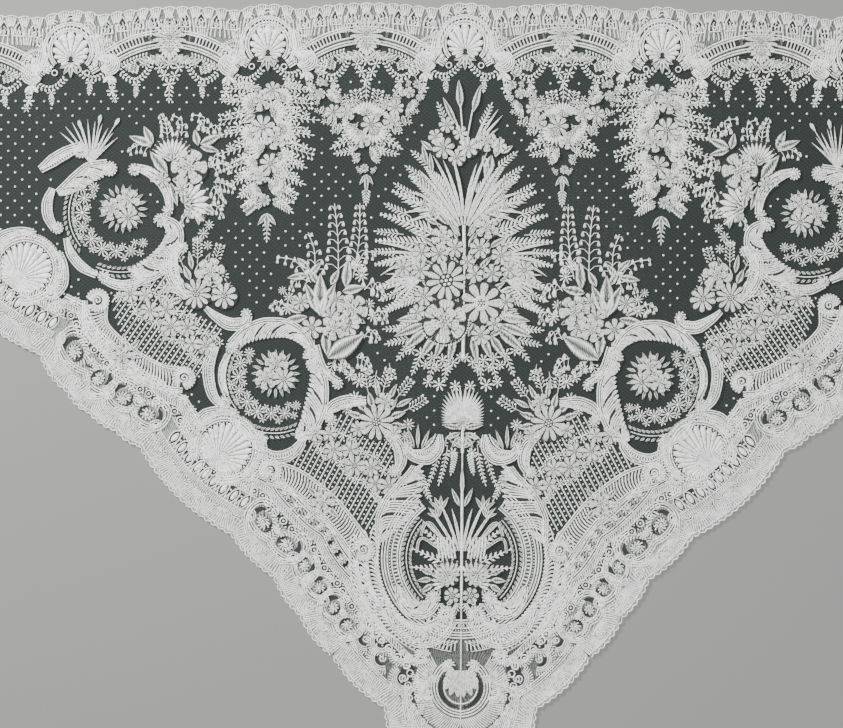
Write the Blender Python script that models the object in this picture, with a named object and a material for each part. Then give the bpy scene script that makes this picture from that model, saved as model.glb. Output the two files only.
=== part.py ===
"""Lace half shawl, laid flat: a triangle of fine net with lace clothwork sewn on it.

The net lies on the ground plane. Over it, one thickness of clothwork higher, lie the two
scalloped borders and the separate flower sprays, each cut to its own outline.
The long edge runs along X at +Y, and the point is at -Y. Sizes are millimetres, turned
into metres when a solid is made.
"""

import math

import bpy
from mathutils import Vector
from mathutils.geometry import delaunay_2d_cdt

# Driving dimensions of the whole shawl
MM = 0.001
HALF_WIDTH = 1360.0
DEPTH = 1270.0
TOP = DEPTH / 2
TIP = -DEPTH / 2
ARCH = 77.5  # how far the long edge falls away towards its two ends

# The two layers of cloth
NET_THICK = 1.0
SEAM_GAP = 0.3
CLOTH_LOW = NET_THICK + SEAM_GAP
CLOTH_HIGH = CLOTH_LOW + 1.0
NET_INSET = 5.0  # the net is trimmed this far inside the scalloped edge

# The top border, whose pattern repeats along the long edge
REPEAT = 318.0
SHELL_DEPTH = 68.0
SHELL_RADIUS = 42.0
TOP_BAND = 62.0
TOP_END = 1150.0
LOBE_RISE = 9.0
HIDDEN = 760.0  # beyond this the pattern runs on plainly, with no windows
SCALLOP_HEIGHT = 2.4
TOP_BASE = TOP - LOBE_RISE - 1.74  # the highest scallop then reaches TOP

# The lower borders
LOWER_BAND = 92.0
FAN_TO_SHELL = 109.0
PICOT_HEIGHT = 1.8

BROAD = 19.0  # leaves wider than this have two more points on their rim
LARGE = 28.0  # flowers larger than this too, on each petal

# Tolerances of the outline work
SMALL = 1e-6
NEAR_LINE = 0.35
SHORTEST = 0.8
SMALLEST_GAP = 45.0  # square millimetres; chance gaps between leaves below this are closed

LACE = ("lace_clothwork", (0.80, 0.82, 0.79, 1.0), 0.85)
NET = ("net_ground", (0.05, 0.063, 0.056, 1.0), 0.9)


# The lower edge of the right half, from the point up to the corner: where each lobe ends,
# how far it bulges, how many small scallops it carries, and what it belongs to
LOWER_LOBES = [
    (122.0, -504.0, 37.0, 10, "point"),
    (209.0, -420.0, 8.0, 6, "point"),
    (260.0, -357.0, 6.0, 4, "band"),
    (303.0, -294.0, 5.0, 4, "band"),
    (372.0, -226.0, 6.0, 5, "band"),
    (521.0, -85.0, 16.0, 10, "fan"),
    (560.0, -60.0, 4.0, 3, "band"),
    (601.0, -33.0, 4.0, 3, "band"),
    (640.0, 4.0, 5.0, 3, "band"),
    (682.0, 62.0, 7.0, 4, "band"),
    (846.0, 191.0, 16.0, 10, "fan"),
    (934.0, 252.0, 6.0, 2, "end"),
    (1021.0, 323.0, 6.0, 2, "end"),
    (1191.0, 446.0, 14.0, 3, "end"),
    (1300.0, 502.0, 5.0, 2, "end"),
    (1354.0, 528.0, 6.0, 2, "end"),
]

# Where the lower border stops at the seam with the point piece
SEAM_OUTER = (209.0, -420.0)
SEAM_INNER = (136.0, -352.0)


# Plane geometry

def turned(vector, degrees):
    """The vector (x, y) turned anticlockwise."""
    angle = math.radians(degrees)
    x, y = vector
    return (x * math.cos(angle) - y * math.sin(angle), x * math.sin(angle) + y * math.cos(angle))


def placed(points, x, y, degrees=0.0):
    """Points turned about their origin, then moved to (x, y)."""
    return [(x + u, y + v) for u, v in (turned(p, degrees) for p in points)]


def mirrored(polygons):
    """The same outlines on the other side of the shawl."""
    return [[(-x, y) for x, y in reversed(p)] for p in polygons]


def signed_area(points):
    following = points[1:] + points[:1]
    return sum(a[0] * b[1] - b[0] * a[1] for a, b in zip(points, following)) / 2


def anticlockwise(points):
    return list(points) if signed_area(points) > 0 else list(reversed(points))


def polar(x, y, radius, degrees):
    """The point at a distance from (x, y), in a direction."""
    angle = math.radians(degrees)
    return (x + radius * math.cos(angle), y + radius * math.sin(angle))


def arc(x, y, radius, start, end, steps):
    """Points along a circle from start to end, in degrees."""
    return [polar(x, y, radius, start + (end - start) * i / steps) for i in range(steps + 1)]


def disc(x, y, radius, sides=10):
    return arc(x, y, radius, 0, 360, sides)[:-1]


def leaf(x, y, degrees, length, width):
    """A pointed leaf that starts at (x, y) and runs along its direction."""
    half = width / 2
    outline = [
        (0.0, 0.0), (0.30 * length, -half), (0.65 * length, -0.8 * half),
        (length, 0.0), (0.65 * length, 0.8 * half), (0.30 * length, half),
    ]
    return placed(outline, x, y, degrees)


def blade(x, y, degrees, length, width):
    """A small leaf, broadest a little before its middle."""
    outline = [(0.0, 0.0), (0.42 * length, -width / 2), (length, 0.0), (0.42 * length, width / 2)]
    return placed(outline, x, y, degrees)


def star(x, y, radius, points, degrees=0.0):
    """A small pointed flower."""
    ring = []
    for i in range(points):
        ring.append(polar(0.0, 0.0, radius, 360 * i / points))
        ring.append(polar(0.0, 0.0, 0.6 * radius, 360 * (i + 0.5) / points))
    return placed(ring, x, y, degrees)


def flower(x, y, radius, petals, degrees=0.0):
    """A round flower with a lobed rim; a large one has two points to a lobe."""
    outline = []
    rim = ((0.0, 0.78), (0.33, 1.0), (0.67, 1.0)) if radius > LARGE else ((0.0, 0.78), (0.5, 1.05))
    for i in range(petals):
        for share, reach in rim:
            angle = 2 * math.pi * (i + share) / petals
            outline.append((radius * reach * math.cos(angle), radius * reach * math.sin(angle)))
    return placed(outline, x, y, degrees)


def ribbon(points, widths):
    """A band of cloth along points, with its full width at each."""
    left, right = [], []
    for i, (point, width) in enumerate(zip(points, widths)):
        before, after = points[max(i - 1, 0)], points[min(i + 1, len(points) - 1)]
        along = Vector((after[0] - before[0], after[1] - before[1])).normalized()
        across = (-along.y * width / 2, along.x * width / 2)
        left.append((point[0] + across[0], point[1] + across[1]))
        right.append((point[0] - across[0], point[1] - across[1]))
    return right + left[::-1]


def even_ribbon(points, width):
    return ribbon(points, [width] * len(points))


def inset(points, distance):
    """An anticlockwise outline moved inwards."""
    moved = []
    for i, point in enumerate(points):
        before, after = points[i - 1], points[(i + 1) % len(points)]
        along = Vector((after[0] - before[0], after[1] - before[1])).normalized()
        moved.append((point[0] - along.y * distance, point[1] + along.x * distance))
    return moved


# Outlines joined and cut in the plane, then raised into one solid

def triangulated(loops):
    """Every triangle inside the loops, with the set of loops that hold it."""
    points, faces = [], []
    for loop in loops:
        faces.append(list(range(len(points), len(points) + len(loop))))
        points += [Vector(p) for p in anticlockwise(loop)]
    found = delaunay_2d_cdt(points, [], faces, 1, SMALL)
    return found[0], list(zip(found[2], (set(o) for o in found[5])))


def rim_of(triangles):
    """Directed rim edges of a set of triangles, as start vertex to end vertices."""
    edges = {(t[i], t[(i + 1) % 3]) for t in triangles for i in range(3)}
    rim = {}
    for a, b in edges:
        if (b, a) not in edges:
            rim.setdefault(a, []).append(b)
    return rim


def largest_part(triangles):
    """The triangles of the largest piece that hangs together by its edges."""
    owners = {}
    for i, t in enumerate(triangles):
        for k in range(3):
            owners.setdefault(frozenset((t[k], t[(k + 1) % 3])), []).append(i)
    unseen, best = set(range(len(triangles))), []
    while unseen:
        stack = [unseen.pop()]
        part = list(stack)
        while stack:
            t = triangles[stack.pop()]
            for k in range(3):
                for n in owners[frozenset((t[k], t[(k + 1) % 3]))]:
                    if n in unseen:
                        unseen.discard(n)
                        stack.append(n)
                        part.append(n)
        if len(part) > len(best):
            best = part
    return [triangles[i] for i in best]


def plain_loop(points):
    """A closed loop without the points that hardly bend it or lie too close together."""
    kept = list(points)
    changed = True
    while changed and len(kept) > 3:
        changed = False
        for i in range(len(kept) - 1, -1, -1):
            a, b, c = Vector(kept[i - 1]), Vector(kept[i]), Vector(kept[(i + 1) % len(kept)])
            span = c - a
            off = abs(span.cross(b - a)) / max(span.length, SMALL)
            if len(kept) > 3 and (off < NEAR_LINE or (b - a).length < SHORTEST):
                kept.pop(i)
                changed = True
    return kept


def joined_outline(adds, cuts):
    """The rim loops of adds, joined, less cuts. Where two corners only touch, a small knot joins them."""
    knots = []
    while True:
        loops = list(adds) + list(cuts) + knots
        joins, holes = len(adds), len(adds) + len(cuts)
        points, triangles = triangulated(loops)
        held = [
            t for t, inside in triangles
            if any(i >= holes for i in inside)
            or (any(i < joins for i in inside) and not any(joins <= i < holes for i in inside))
        ]
        held = largest_part(held)
        rim = rim_of(held)
        touching = [a for a, ends in rim.items() if len(ends) > 1]
        if not touching:
            break
        knots += [disc(points[a].x, points[a].y, 1.0, 4) for a in touching]
    loops = []
    while rim:
        start, ends = next(iter(rim.items()))
        loop, here = [], start
        while here in rim:
            loop.append(tuple(points[here]))
            here = rim.pop(here)[0]
        loops.append(plain_loop(loop))
    return [loop for loop in loops if abs(signed_area(loop)) > SMALLEST_GAP]


def plate(name, finish, adds, cuts=(), low=CLOTH_LOW, high=CLOTH_HIGH):
    """One flat piece of cloth, from its joined outline, as a named object."""
    loops = joined_outline(adds, cuts)
    loops.sort(key=lambda loop: -abs(signed_area(loop)))
    points, triangles = triangulated(loops)
    top = [t for t, inside in triangles if inside == {0}]
    count = len(points)
    vertices = [(p.x * MM, p.y * MM, z * MM) for z in (low, high) for p in points]
    faces = [[a, c, b] for a, b, c in top]
    faces += [[a + count, b + count, c + count] for a, b, c in top]
    for a, ends in rim_of(top).items():
        faces += [[a, b, b + count, a + count] for b in ends]
    mesh = bpy.data.meshes.new(name)
    mesh.from_pydata(vertices, [], faces)
    used = {v for f in faces for v in f}
    if len(used) < len(vertices):
        mesh.clear_geometry()
        order = {v: i for i, v in enumerate(sorted(used))}
        mesh.from_pydata([vertices[v] for v in sorted(used)], [], [[order[v] for v in f] for f in faces])
    mesh.materials.append(material(*finish))
    thing = bpy.data.objects.new(name, mesh)
    bpy.context.scene.collection.objects.link(thing)
    return thing


def material(name, colour, roughness):
    found = bpy.data.materials.get(name)
    if found:
        return found
    made = bpy.data.materials.new(name)
    made.use_nodes = True
    shader = made.node_tree.nodes["Principled BSDF"]
    shader.inputs["Base Color"].default_value = colour
    shader.inputs["Roughness"].default_value = roughness
    shader.inputs["Metallic"].default_value = 0.0
    return made


# The scalloped outline

def top_y(x):
    """Height of the long edge's base line."""
    return TOP_BASE - ARCH * (x / HALF_WIDTH) ** 2


def lobe(start, end, bulge, scallops, scallop_height):
    """Points from start up to, but not including, end. The outside is on the right of travel."""
    along = Vector(end) - Vector(start)
    out = Vector((along.y, -along.x)).normalized()
    points = []
    for i in range(2 * scallops):
        t = i / (2 * scallops)
        rise = bulge * 4 * t * (1 - t) + (scallop_height if i % 2 else 0.0)
        points.append(tuple(Vector(start) + along * t + out * rise))
    return points


def lower_edge(scallop_height, plain=False):
    """The right half's lower edge, from the point to the corner."""
    points, start = [], (0.0, TIP)
    for x, y, bulge, scallops, _ in LOWER_LOBES:
        points += lobe(start, (x, y), bulge, 1 if plain else scallops, scallop_height)
        start = (x, y)
    return points + [start]


def top_edge(scallop_height, plain=False):
    """The long edge, from the right end to the left, one lobe to a shell and one to an arc."""
    shell_half = 49.0
    marks = [side * HALF_WIDTH for side in (-1, 1)]
    for k in range(-4, 5):
        marks += [k * REPEAT + side * shell_half for side in (-1, 1)]
    marks = sorted((m for m in marks if abs(m) <= HALF_WIDTH), reverse=True)
    points = []
    for right, left in zip(marks, marks[1:]):
        wide = right - left > 2.5 * shell_half
        count = 1 if plain or abs(left + right) / 2 > HIDDEN else (8 if wide else 4)
        points += lobe((right, top_y(right)), (left, top_y(left)), LOBE_RISE, count, scallop_height)
    return points + [(-HALF_WIDTH, top_y(HALF_WIDTH))]


def whole_outline():
    """The shawl's outline, lobe by lobe, without the small scallops."""
    right = lower_edge(0.0, plain=True)
    left = [(-x, y) for x, y in reversed(right)]
    return right[1:] + top_edge(0.0, plain=True) + left


# The top border

def shell_windows(x, y, inner, outer, start, end, count):
    """The gaps between a shell's points and the ring round it."""
    windows = []
    step = (end - start) / count
    for i in range(count):
        a = start + i * step
        rim = [polar(x, y, outer, a + share * step) for share in (0.12, 0.88)]
        windows.append(rim + [polar(x, y, inner, a + 0.5 * step)])
    return windows


def top_shell(x):
    """A shell in its ring, hanging from the border."""
    shell_y = top_y(x) + LOBE_RISE - SHELL_DEPTH
    windows = [] if abs(x) > HIDDEN else shell_windows(x, shell_y, 19.0, 29.0, -30.0, 210.0, 7)
    return [disc(x, shell_y, SHELL_RADIUS, 16)], windows


def top_arc(middle):
    """The arched band between two shells, with its pointed windows."""
    base = top_y(middle) + LOBE_RISE
    chord, sag = 94.0, 38.0
    radius = (chord ** 2 + sag ** 2) / (2 * sag)
    centre_y = base - SHELL_DEPTH + 6.0 - radius
    half_angle = math.degrees(math.asin(chord / radius))
    sweep = arc(middle, centre_y, radius + 8.0, 90 - half_angle, 90 + half_angle, 6)
    adds, cuts = [even_ribbon(sweep, 16.0), flower(middle, base - 64.0, 24.0, 6, 15.0)], []
    for side in (-1, 1):
        ball_x, ball_y = middle + side * (chord + 4.0), base - 96.0
        adds.append(disc(ball_x, ball_y, 15.0, 9))
        adds.append(even_ribbon([(ball_x, ball_y), (ball_x + side * 10.0, base - 50.0)], 24.0))
        gap = arc(middle, centre_y, radius + 4.0, 90 + side * 15.0, 90 + side * 31.0, 2)
        cuts.append(even_ribbon(gap, 4.6))
    for i in range(7):
        angle = 90 + (i - 3) * 10.0
        arch = [(-5.5, -1.0), (5.5, -1.0), (0.0, 12.0)]
        cuts.append(placed(arch, *polar(middle, centre_y, radius + 33.0, angle), angle - 90))
    return adds, [] if abs(middle) > HIDDEN else cuts


def top_border():
    outer = [p for p in top_edge(SCALLOP_HEIGHT) if abs(p[0]) < TOP_END]
    inner = [(x, top_y(x) + LOBE_RISE - TOP_BAND) for x in (i * TOP_END / 12 for i in range(-12, 13))]
    adds, cuts = [outer + inner], []
    pieces = [top_shell(k * REPEAT) for k in range(-3, 4)] + [top_arc((k + 0.5) * REPEAT) for k in range(-3, 3)]
    for more, holes in pieces:
        adds += more
        cuts += holes
    return adds, cuts


# The lower borders

def lobes_of(kind):
    """The lobes of one kind: the middle on the edge, the way out in degrees, and the length."""
    frames, start = [], (0.0, TIP)
    for x, y, bulge, _, belongs in LOWER_LOBES:
        if belongs == kind:
            along = Vector((x - start[0], y - start[1]))
            out = Vector((along.y, -along.x)).normalized()
            middle = Vector(start) + along / 2 + out * bulge
            frames.append((middle.x, middle.y, math.degrees(math.atan2(out.y, out.x)), along.length))
        start = (x, y)
    return frames


def fan_piece(x, y, degrees):
    """The shell in its ring behind a fan, with the drop-shaped windows of the fan."""
    out = turned((1.0, 0.0), degrees)
    shell_x, shell_y = x - out[0] * FAN_TO_SHELL, y - out[1] * FAN_TO_SHELL
    scroll = arc(shell_x, shell_y, SHELL_RADIUS + 6.0, degrees + 80, degrees + 280, 8)
    widths = [14.0 + 6.0 * abs(math.cos(math.pi * i / 8)) for i in range(9)]
    adds = [disc(shell_x, shell_y, SHELL_RADIUS, 14), ribbon(scroll, widths)]
    cuts = shell_windows(shell_x, shell_y, 24.0, 34.0, degrees + 60, degrees + 330, 8)
    radius = 157.0
    back = FAN_TO_SHELL - 68.0 + radius
    drop = [(-11.0, 0.0), (2.0, -6.0), (12.0, 0.0), (2.0, 6.0)]
    for i in range(8):
        angle = degrees + (i - 3.5) * 8.6
        cuts.append(placed(drop, *polar(x - out[0] * back, y - out[1] * back, radius, angle), angle))
    return adds, cuts


def crescent_window(x, y, degrees, reach, width):
    """The dark crescent inside a curled cell."""
    bend = arc(x, y, reach, degrees - 80, degrees + 80, 3)
    return ribbon(bend, [2.0, width, width, 2.0])


def band_cells(kind):
    """A crescent window in each curled cell of the stretches between the fans."""
    cuts = []
    for x, y, out, length in lobes_of(kind):
        centre = polar(x, y, 46.0, out + 180)
        cuts.append(crescent_window(*centre, out + 155, min(14.0, length * 0.22), 6.5))
    return cuts


def inner_line(band=LOWER_BAND):
    """The lower band's inner side, parallel to a line through the larger lobe ends."""
    line = [LOWER_LOBES[i][:2] for i in (1, 3, 4, 5, 7, 9, 10, 11, 12, 13)]
    moved = []
    for i, point in enumerate(line):
        before, after = line[max(i - 1, 0)], line[min(i + 1, len(line) - 1)]
        along = Vector((after[0] - before[0], after[1] - before[1])).normalized()
        moved.append((point[0] - along.y * band, point[1] + along.x * band))
    return moved


def lower_border():
    """The right lower border, from beside the point to the corner."""
    gap = SEAM_GAP + 0.2
    outer = [p for p in lower_edge(PICOT_HEIGHT) if p[1] > SEAM_OUTER[1] + gap]
    corner = [p for p in top_edge(SCALLOP_HEIGHT) if p[0] > TOP_END + gap]
    inner = [p for p in inner_line() if SEAM_INNER[1] + 10.0 < p[1] and p[0] < TOP_END - 20.0]
    seam = [(x + gap, y + gap) for x, y in (SEAM_INNER, SEAM_OUTER)]
    adds = [outer + corner + [(TOP_END + gap, 500.0)] + inner[::-1] + seam]
    cuts = band_cells("band")
    for x, y, out, _ in lobes_of("fan"):
        more, holes = fan_piece(x, y, out)
        adds += more
        cuts += holes
    return adds, cuts


def c_scroll(x, y, reaches, start, end, widths, balls, grow=0.0):
    """A scroll bent round (x, y), whose distance and width change on the way, with a ball at each end."""
    steps = 6
    path, breadth = [], []
    for i in range(steps + 1):
        t = i / steps * (len(reaches) - 1)
        k = min(int(t), len(reaches) - 2)
        reach = reaches[k] + (reaches[k + 1] - reaches[k]) * (t - k)
        path.append(polar(x, y, reach, start + (end - start) * i / steps))
        breadth.append(widths[k] + (widths[k + 1] - widths[k]) * (t - k) + 2 * grow)
    shapes = [ribbon(path, breadth)]
    for foot, ball in zip((path[0], path[-1]), balls):
        if ball:
            inward = Vector((x - foot[0], y - foot[1])).normalized() * ball * 0.5
            shapes.append(disc(foot[0] + inward.x, foot[1] + inward.y, ball + grow, 9))
    return shapes


def medallion_frame(x, y, size, grow=0.0):
    """The scrolls that ring a round medallion on the net."""
    scrolls = [
        # distances, from, to, widths, balls
        ((72, 102, 116), 98, -20, (28, 26, 13), (16, 14)),
        ((98, 112, 84), -58, -150, (13, 18, 32), (14, 16)),
        ((84, 80, 74), -146, -254, (26, 14, 16), (0, 12)),
        ((116, 112, 104), -18, -60, (12, 10, 12), (0, 0)),
    ]
    shapes = []
    for reaches, start, end, widths, balls in scrolls:
        shapes += c_scroll(x, y, [reach * size for reach in reaches], start, end, widths, balls, grow)
    return shapes


def ladder_scroll(points):
    """The rung-filled scroll under a barred panel: a rosette in the middle, a ball at each end."""
    shapes = [ribbon(points, [22.0, 28.0, 30.0, 28.0, 18.0])]
    shapes.append(star(*points[len(points) // 2], 27.0, 8))
    shapes += [disc(*points[i], 17.0, 10) for i in (0, -1)]
    return shapes


def border_clearance():
    """The right lower border, grown by the seam gap, for cutting what lies against it."""
    grow = SEAM_GAP + 0.3
    line = inner_line(LOWER_BAND + grow)
    shapes = [line + [(1400.0, 300.0), (400.0, -600.0)]]
    for x, y, out, _ in lobes_of("fan"):
        shapes.append(disc(*polar(x, y, FAN_TO_SHELL, out + 180), SHELL_RADIUS + 17.0 + grow, 24))
    return shapes


def point_border():
    """The rounded point, and the frame of the round medallion that stands on it."""
    edge = [p for p in lower_edge(PICOT_HEIGHT) if p[1] <= SEAM_OUTER[1] and p[0] < 220.0]
    side = edge + [SEAM_OUTER, SEAM_INNER, (112.0, -330.0), (92.0, -352.0), (60.0, -380.0)]
    adds = [side + [(-x, y) for x, y in reversed(side[1:])]]
    ring = arc(0.0, -262.0, 112.0, -90, 62, 11)
    curve = [(84.0, -170.0), (104.0, -144.0), (98.0, -110.0), (70.0, -92.0), (48.0, -106.0)]
    cuts = []
    for side_sign in (-1, 1):
        adds.append(even_ribbon([(side_sign * u, v) for u, v in ring], 26.0))
        adds.append(ribbon([(side_sign * u, v) for u, v in curve], [18, 24, 28, 30, 26]))
        adds.append(disc(side_sign * 50.0, -112.0, 15.0))
        for i in range(4):
            centre = polar(0.0, -262.0, 112.0, -45 + 28 * i)
            window = blade(-8.0, 0.0, 0.0, 17.0, 7.5)
            cuts.append(placed(window, side_sign * centre[0], centre[1], side_sign * (45 + 28 * i)))
        cuts.append([(side_sign * u, v) for u, v in crescent_window(40.0, -470.0, -30.0, 22.0, 8.0)])
        cuts.append([(side_sign * u, v) for u, v in crescent_window(118.0, -440.0, 150.0, 14.0, 6.5)])
    return adds, cuts


# The sprays on the net

def leafy_stem(points, pairs, length, width, spread=52.0, stem=5.0, taper=0.5):
    """A stem with pairs of leaves, which get shorter towards its end."""
    shapes = [even_ribbon(points, stem)]
    spans = len(points) - 1
    for i in range(pairs):
        place = (i + 0.6) / pairs * spans
        k = min(int(place), spans - 1)
        a, b = Vector(points[k]), Vector(points[k + 1])
        foot = a.lerp(b, place - k)
        heading = math.degrees(math.atan2(b.y - a.y, b.x - a.x))
        size = 1 - taper * i / pairs
        for side in (-1, 1):
            shapes.append(blade(foot.x, foot.y, heading + side * spread, length * size, width * size))
    tip, last = points[-1], points[-2]
    heading = math.degrees(math.atan2(tip[1] - last[1], tip[0] - last[0]))
    shapes.append(blade(*tip, heading, length * (1 - taper), width * (1 - taper)))
    return shapes


def leaves_round(x, y, start, end, count, length, width):
    """Leaves that spread from one place, which a small disc holds together."""
    shape = leaf if width > BROAD else blade
    spread = [start + (end - start) * i / (count - 1) for i in range(count)]
    return [disc(x, y, 0.7 * width, 8)] + [shape(x, y, degrees, length, width) for degrees in spread]


def centre_bouquet():
    shapes = [even_ribbon([(0, 470), (0, 60)], 9.0)]
    shapes += leaves_round(0, 400, 62, 118, 3, 108, 22)
    rows = [
        # y, count, from, to, length, width
        (330.0, 6, 28.0, 152.0, 112.0, 18.0),
        (250.0, 8, 8.0, 172.0, 128.0, 17.0),
        (190.0, 8, -8.0, 188.0, 132.0, 17.0),
        (140.0, 8, -24.0, 204.0, 128.0, 17.0),
        (90.0, 7, 205.0, 335.0, 84.0, 28.0),
    ]
    for y, count, start, end, length, width in rows:
        shapes += leaves_round(0, y, start, end, count, length, width)
    blooms = [(-24, 185, 33, 6), (29, 149, 31, 5), (-26, 116, 34, 7), (20, 372, 26, 5), (-18, 352, 24, 5)]
    shapes += [flower(*bloom) for bloom in blooms]
    return shapes


def festoon():
    shapes = []
    for start in ((238.0, 508.0), (78.0, 508.0)):
        arm = [start, (158 + (start[0] - 158) * 0.72, 462.0), (158.0, 430.0)]
        shapes += leafy_stem(arm, 3, 32, 17, taper=0.1)
    shapes += leafy_stem([(158, 440), (158, 335)], 5, 44, 19, spread=60, taper=0.6)
    for x, y, radius in ((158, 446, 27), (124, 440, 21), (192, 440, 21), (158, 408, 24)):
        shapes.append(flower(x, y, radius, 5))
    return shapes


def pendant():
    shapes = leafy_stem([(318, 508), (318, 262)], 7, 62, 24, spread=58, taper=0.65)
    blooms = [(318, 462, 33), (338, 430, 26), (297, 424, 27), (320, 392, 30), (304, 360, 22), (332, 350, 20)]
    shapes += [flower(x, y, radius, 5) for x, y, radius in blooms]
    return shapes


def bell_bouquet():
    shapes = []
    for x, y in ((192, 300), (228, 286), (262, 246)):
        shapes += leafy_stem([(222, 150), (x, y)], 3, 26, 12, spread=55, stem=5, taper=0.3)
    shapes += leaves_round(224, 132, -60, 240, 9, 84, 22)
    shapes += leaves_round(212, 86, -150, 10, 5, 64, 20)
    for x, y, radius in ((226, 142, 38), (205, 98, 33), (250, 108, 27)):
        shapes.append(flower(x, y, radius, 6))
    return shapes


def rose_bouquet():
    shapes = leaves_round(458, 355, -80, 230, 11, 86, 22)
    for x, y, radius in ((458, 372, 36), (430, 344, 30), (474, 330, 28), (452, 308, 25)):
        shapes.append(flower(x, y, radius, 6))
    return shapes


def reed_cluster():
    shapes = leaves_round(604, 400, 48, 132, 6, 76, 10)
    shapes += c_scroll(634, 428, [30.0, 44.0, 60.0], -150, -60, [16.0, 20.0, 14.0], (10.0, 0.0))
    return shapes


def filling(x, y, row_x, row_y, radius):
    """What fills a medallion: a small round bunch, and star flowers in a curved row joined to it."""
    row = arc(row_x, row_y, radius, 28, -122, 6)
    shapes = [even_ribbon(row, 8.0), even_ribbon([(x, y), row[3]], 5.0)]
    shapes += [star(u, v, 11.0 + 6.0 * math.sin(math.pi * i / 6), 5, 17 * i) for i, (u, v) in enumerate(row)]
    return shapes + leaves_round(x, y, 0, 324, 10, 38, 17) + [flower(x - 9, y + 8, 21, 5)]


def panel(flower_place, scroll_place, garland_place, ladder_points):
    """What fills a barred panel: a full flower, the scroll under it, a garland and a ladder."""
    x, y, degrees = flower_place
    shapes = leaves_round(x, y, degrees - 110, degrees + 110, 7, 46, 18)
    shapes.append(flower(x, y, 30, 7))
    shapes += leafy_stem([polar(x, y, 20, degrees), polar(x, y, 78, degrees)], 3, 24, 12)
    scroll_x, scroll_y, start, end = scroll_place
    shapes += c_scroll(scroll_x, scroll_y, [66.0, 66.0, 70.0], start, end, [22.0, 12.0, 20.0], (13.0, 13.0))
    row = placed([(-84, 10), (-44, -12), (0, 8), (44, -12), (84, 4)], *garland_place)
    shapes.append(even_ribbon(row, 11.0))
    shapes += [star(u, v, 21.0 if i % 2 else 18.0, 5, 20 * i) for i, (u, v) in enumerate(row)]
    return shapes + ladder_scroll(ladder_points)


def palm_finial():
    shapes = leaves_round(0, -36, -8, 188, 9, 40, 9)
    shapes.append(even_ribbon([(0, -34), (0, -92)], 12.0))
    shapes += leaves_round(0, -84, 30, 150, 4, 26, 9)
    return shapes


def point_bouquet():
    shapes = [even_ribbon([(0, -185), (0, -325)], 8.0)]
    shapes += leaves_round(0, -232, 24, 156, 7, 66, 10)
    shapes += leaves_round(0, -282, -10, 190, 8, 74, 12)
    shapes.append(flower(-20, -290, 22, 7))
    shapes.append(flower(20, -292, 20, 6))
    return shapes


NEAR = (305.0, 28.0, 0.95)
FAR = (554.0, 291.0, 1.0)

# The pieces of the right half, which the left half mirrors: name, outline, its places, and
# what it keeps clear of
SIDE_PIECES = [
    ("festoon", festoon, (), ""),
    ("pendant", pendant, (), ""),
    ("near_frame", medallion_frame, NEAR, "border"),
    ("far_frame", medallion_frame, FAR, "border"),
    ("bell_bouquet", bell_bouquet, (), "near"),
    ("rose_bouquet", rose_bouquet, (), "far"),
    ("reed_cluster", reed_cluster, (), "far"),
    ("near_filling", filling, (302.0, 34.0, 305.0, 26.0, 56.0), ""),
    ("far_filling", filling, (550.0, 298.0, 556.0, 289.0, 60.0), ""),
    ("near_panel", panel, (
        (138.0, -36.0, 125.0), (142.0, -62.0, 165.0, 20.0), (196.0, -118.0, -42.0),
        [(314.0, -126.0), (268.0, -140.0), (216.0, -180.0), (182.0, -222.0), (158.0, -256.0)],
    ), "border near"),
    ("far_panel", panel, (
        (406.0, 172.0, 75.0), (404.0, 181.0, 34.0, -140.0), (468.0, 110.0, -42.0),
        [(592.0, 150.0), (588.0, 104.0), (540.0, 58.0), (490.0, 30.0), (450.0, 24.0)],
    ), "border near far"),
]


def build():
    for thing in list(bpy.data.objects):
        bpy.data.objects.remove(thing)

    plate("net_ground", NET, [inset(whole_outline(), NET_INSET)], low=0.0, high=NET_THICK)

    plate("top_border", LACE, *top_border())
    adds, cuts = lower_border()
    plate("lower_border_right", LACE, adds, cuts)
    plate("lower_border_left", LACE, mirrored(adds), mirrored(cuts))
    plate("point_border", LACE, *point_border())

    plate("centre_bouquet", LACE, centre_bouquet())
    plate("palm_finial", LACE, palm_finial())
    plate("point_bouquet", LACE, point_bouquet())

    clearances = {
        "border": border_clearance(),
        "near": medallion_frame(*NEAR, grow=SEAM_GAP + 0.2),
        "far": medallion_frame(*FAR, grow=SEAM_GAP + 0.2),
    }
    for name, outline, places, clear_of in SIDE_PIECES:
        adds = outline(*places)
        cuts = [shape for key in clear_of.split() for shape in clearances[key]]
        plate(name + "_right", LACE, adds, cuts)
        plate(name + "_left", LACE, mirrored(adds), mirrored(cuts))


build()
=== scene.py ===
# %% [markdown]
# A lace half shawl, laid out flat.
#
# The real shawl is a triangle of fine machine-made net. Flowers, leaves, shells and scrolls
# are worked apart in thread, as "clothwork" with raised cords round it, and then sewn on the
# net. This lesson builds it the same way: first the net, then each worked piece as raised
# strips of thread that lie on it. The CAD model gives each piece's place; here each piece
# gets its threads.

import bpy
import numpy as np
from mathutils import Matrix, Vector
from mathutils.geometry import delaunay_2d_cdt


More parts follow.
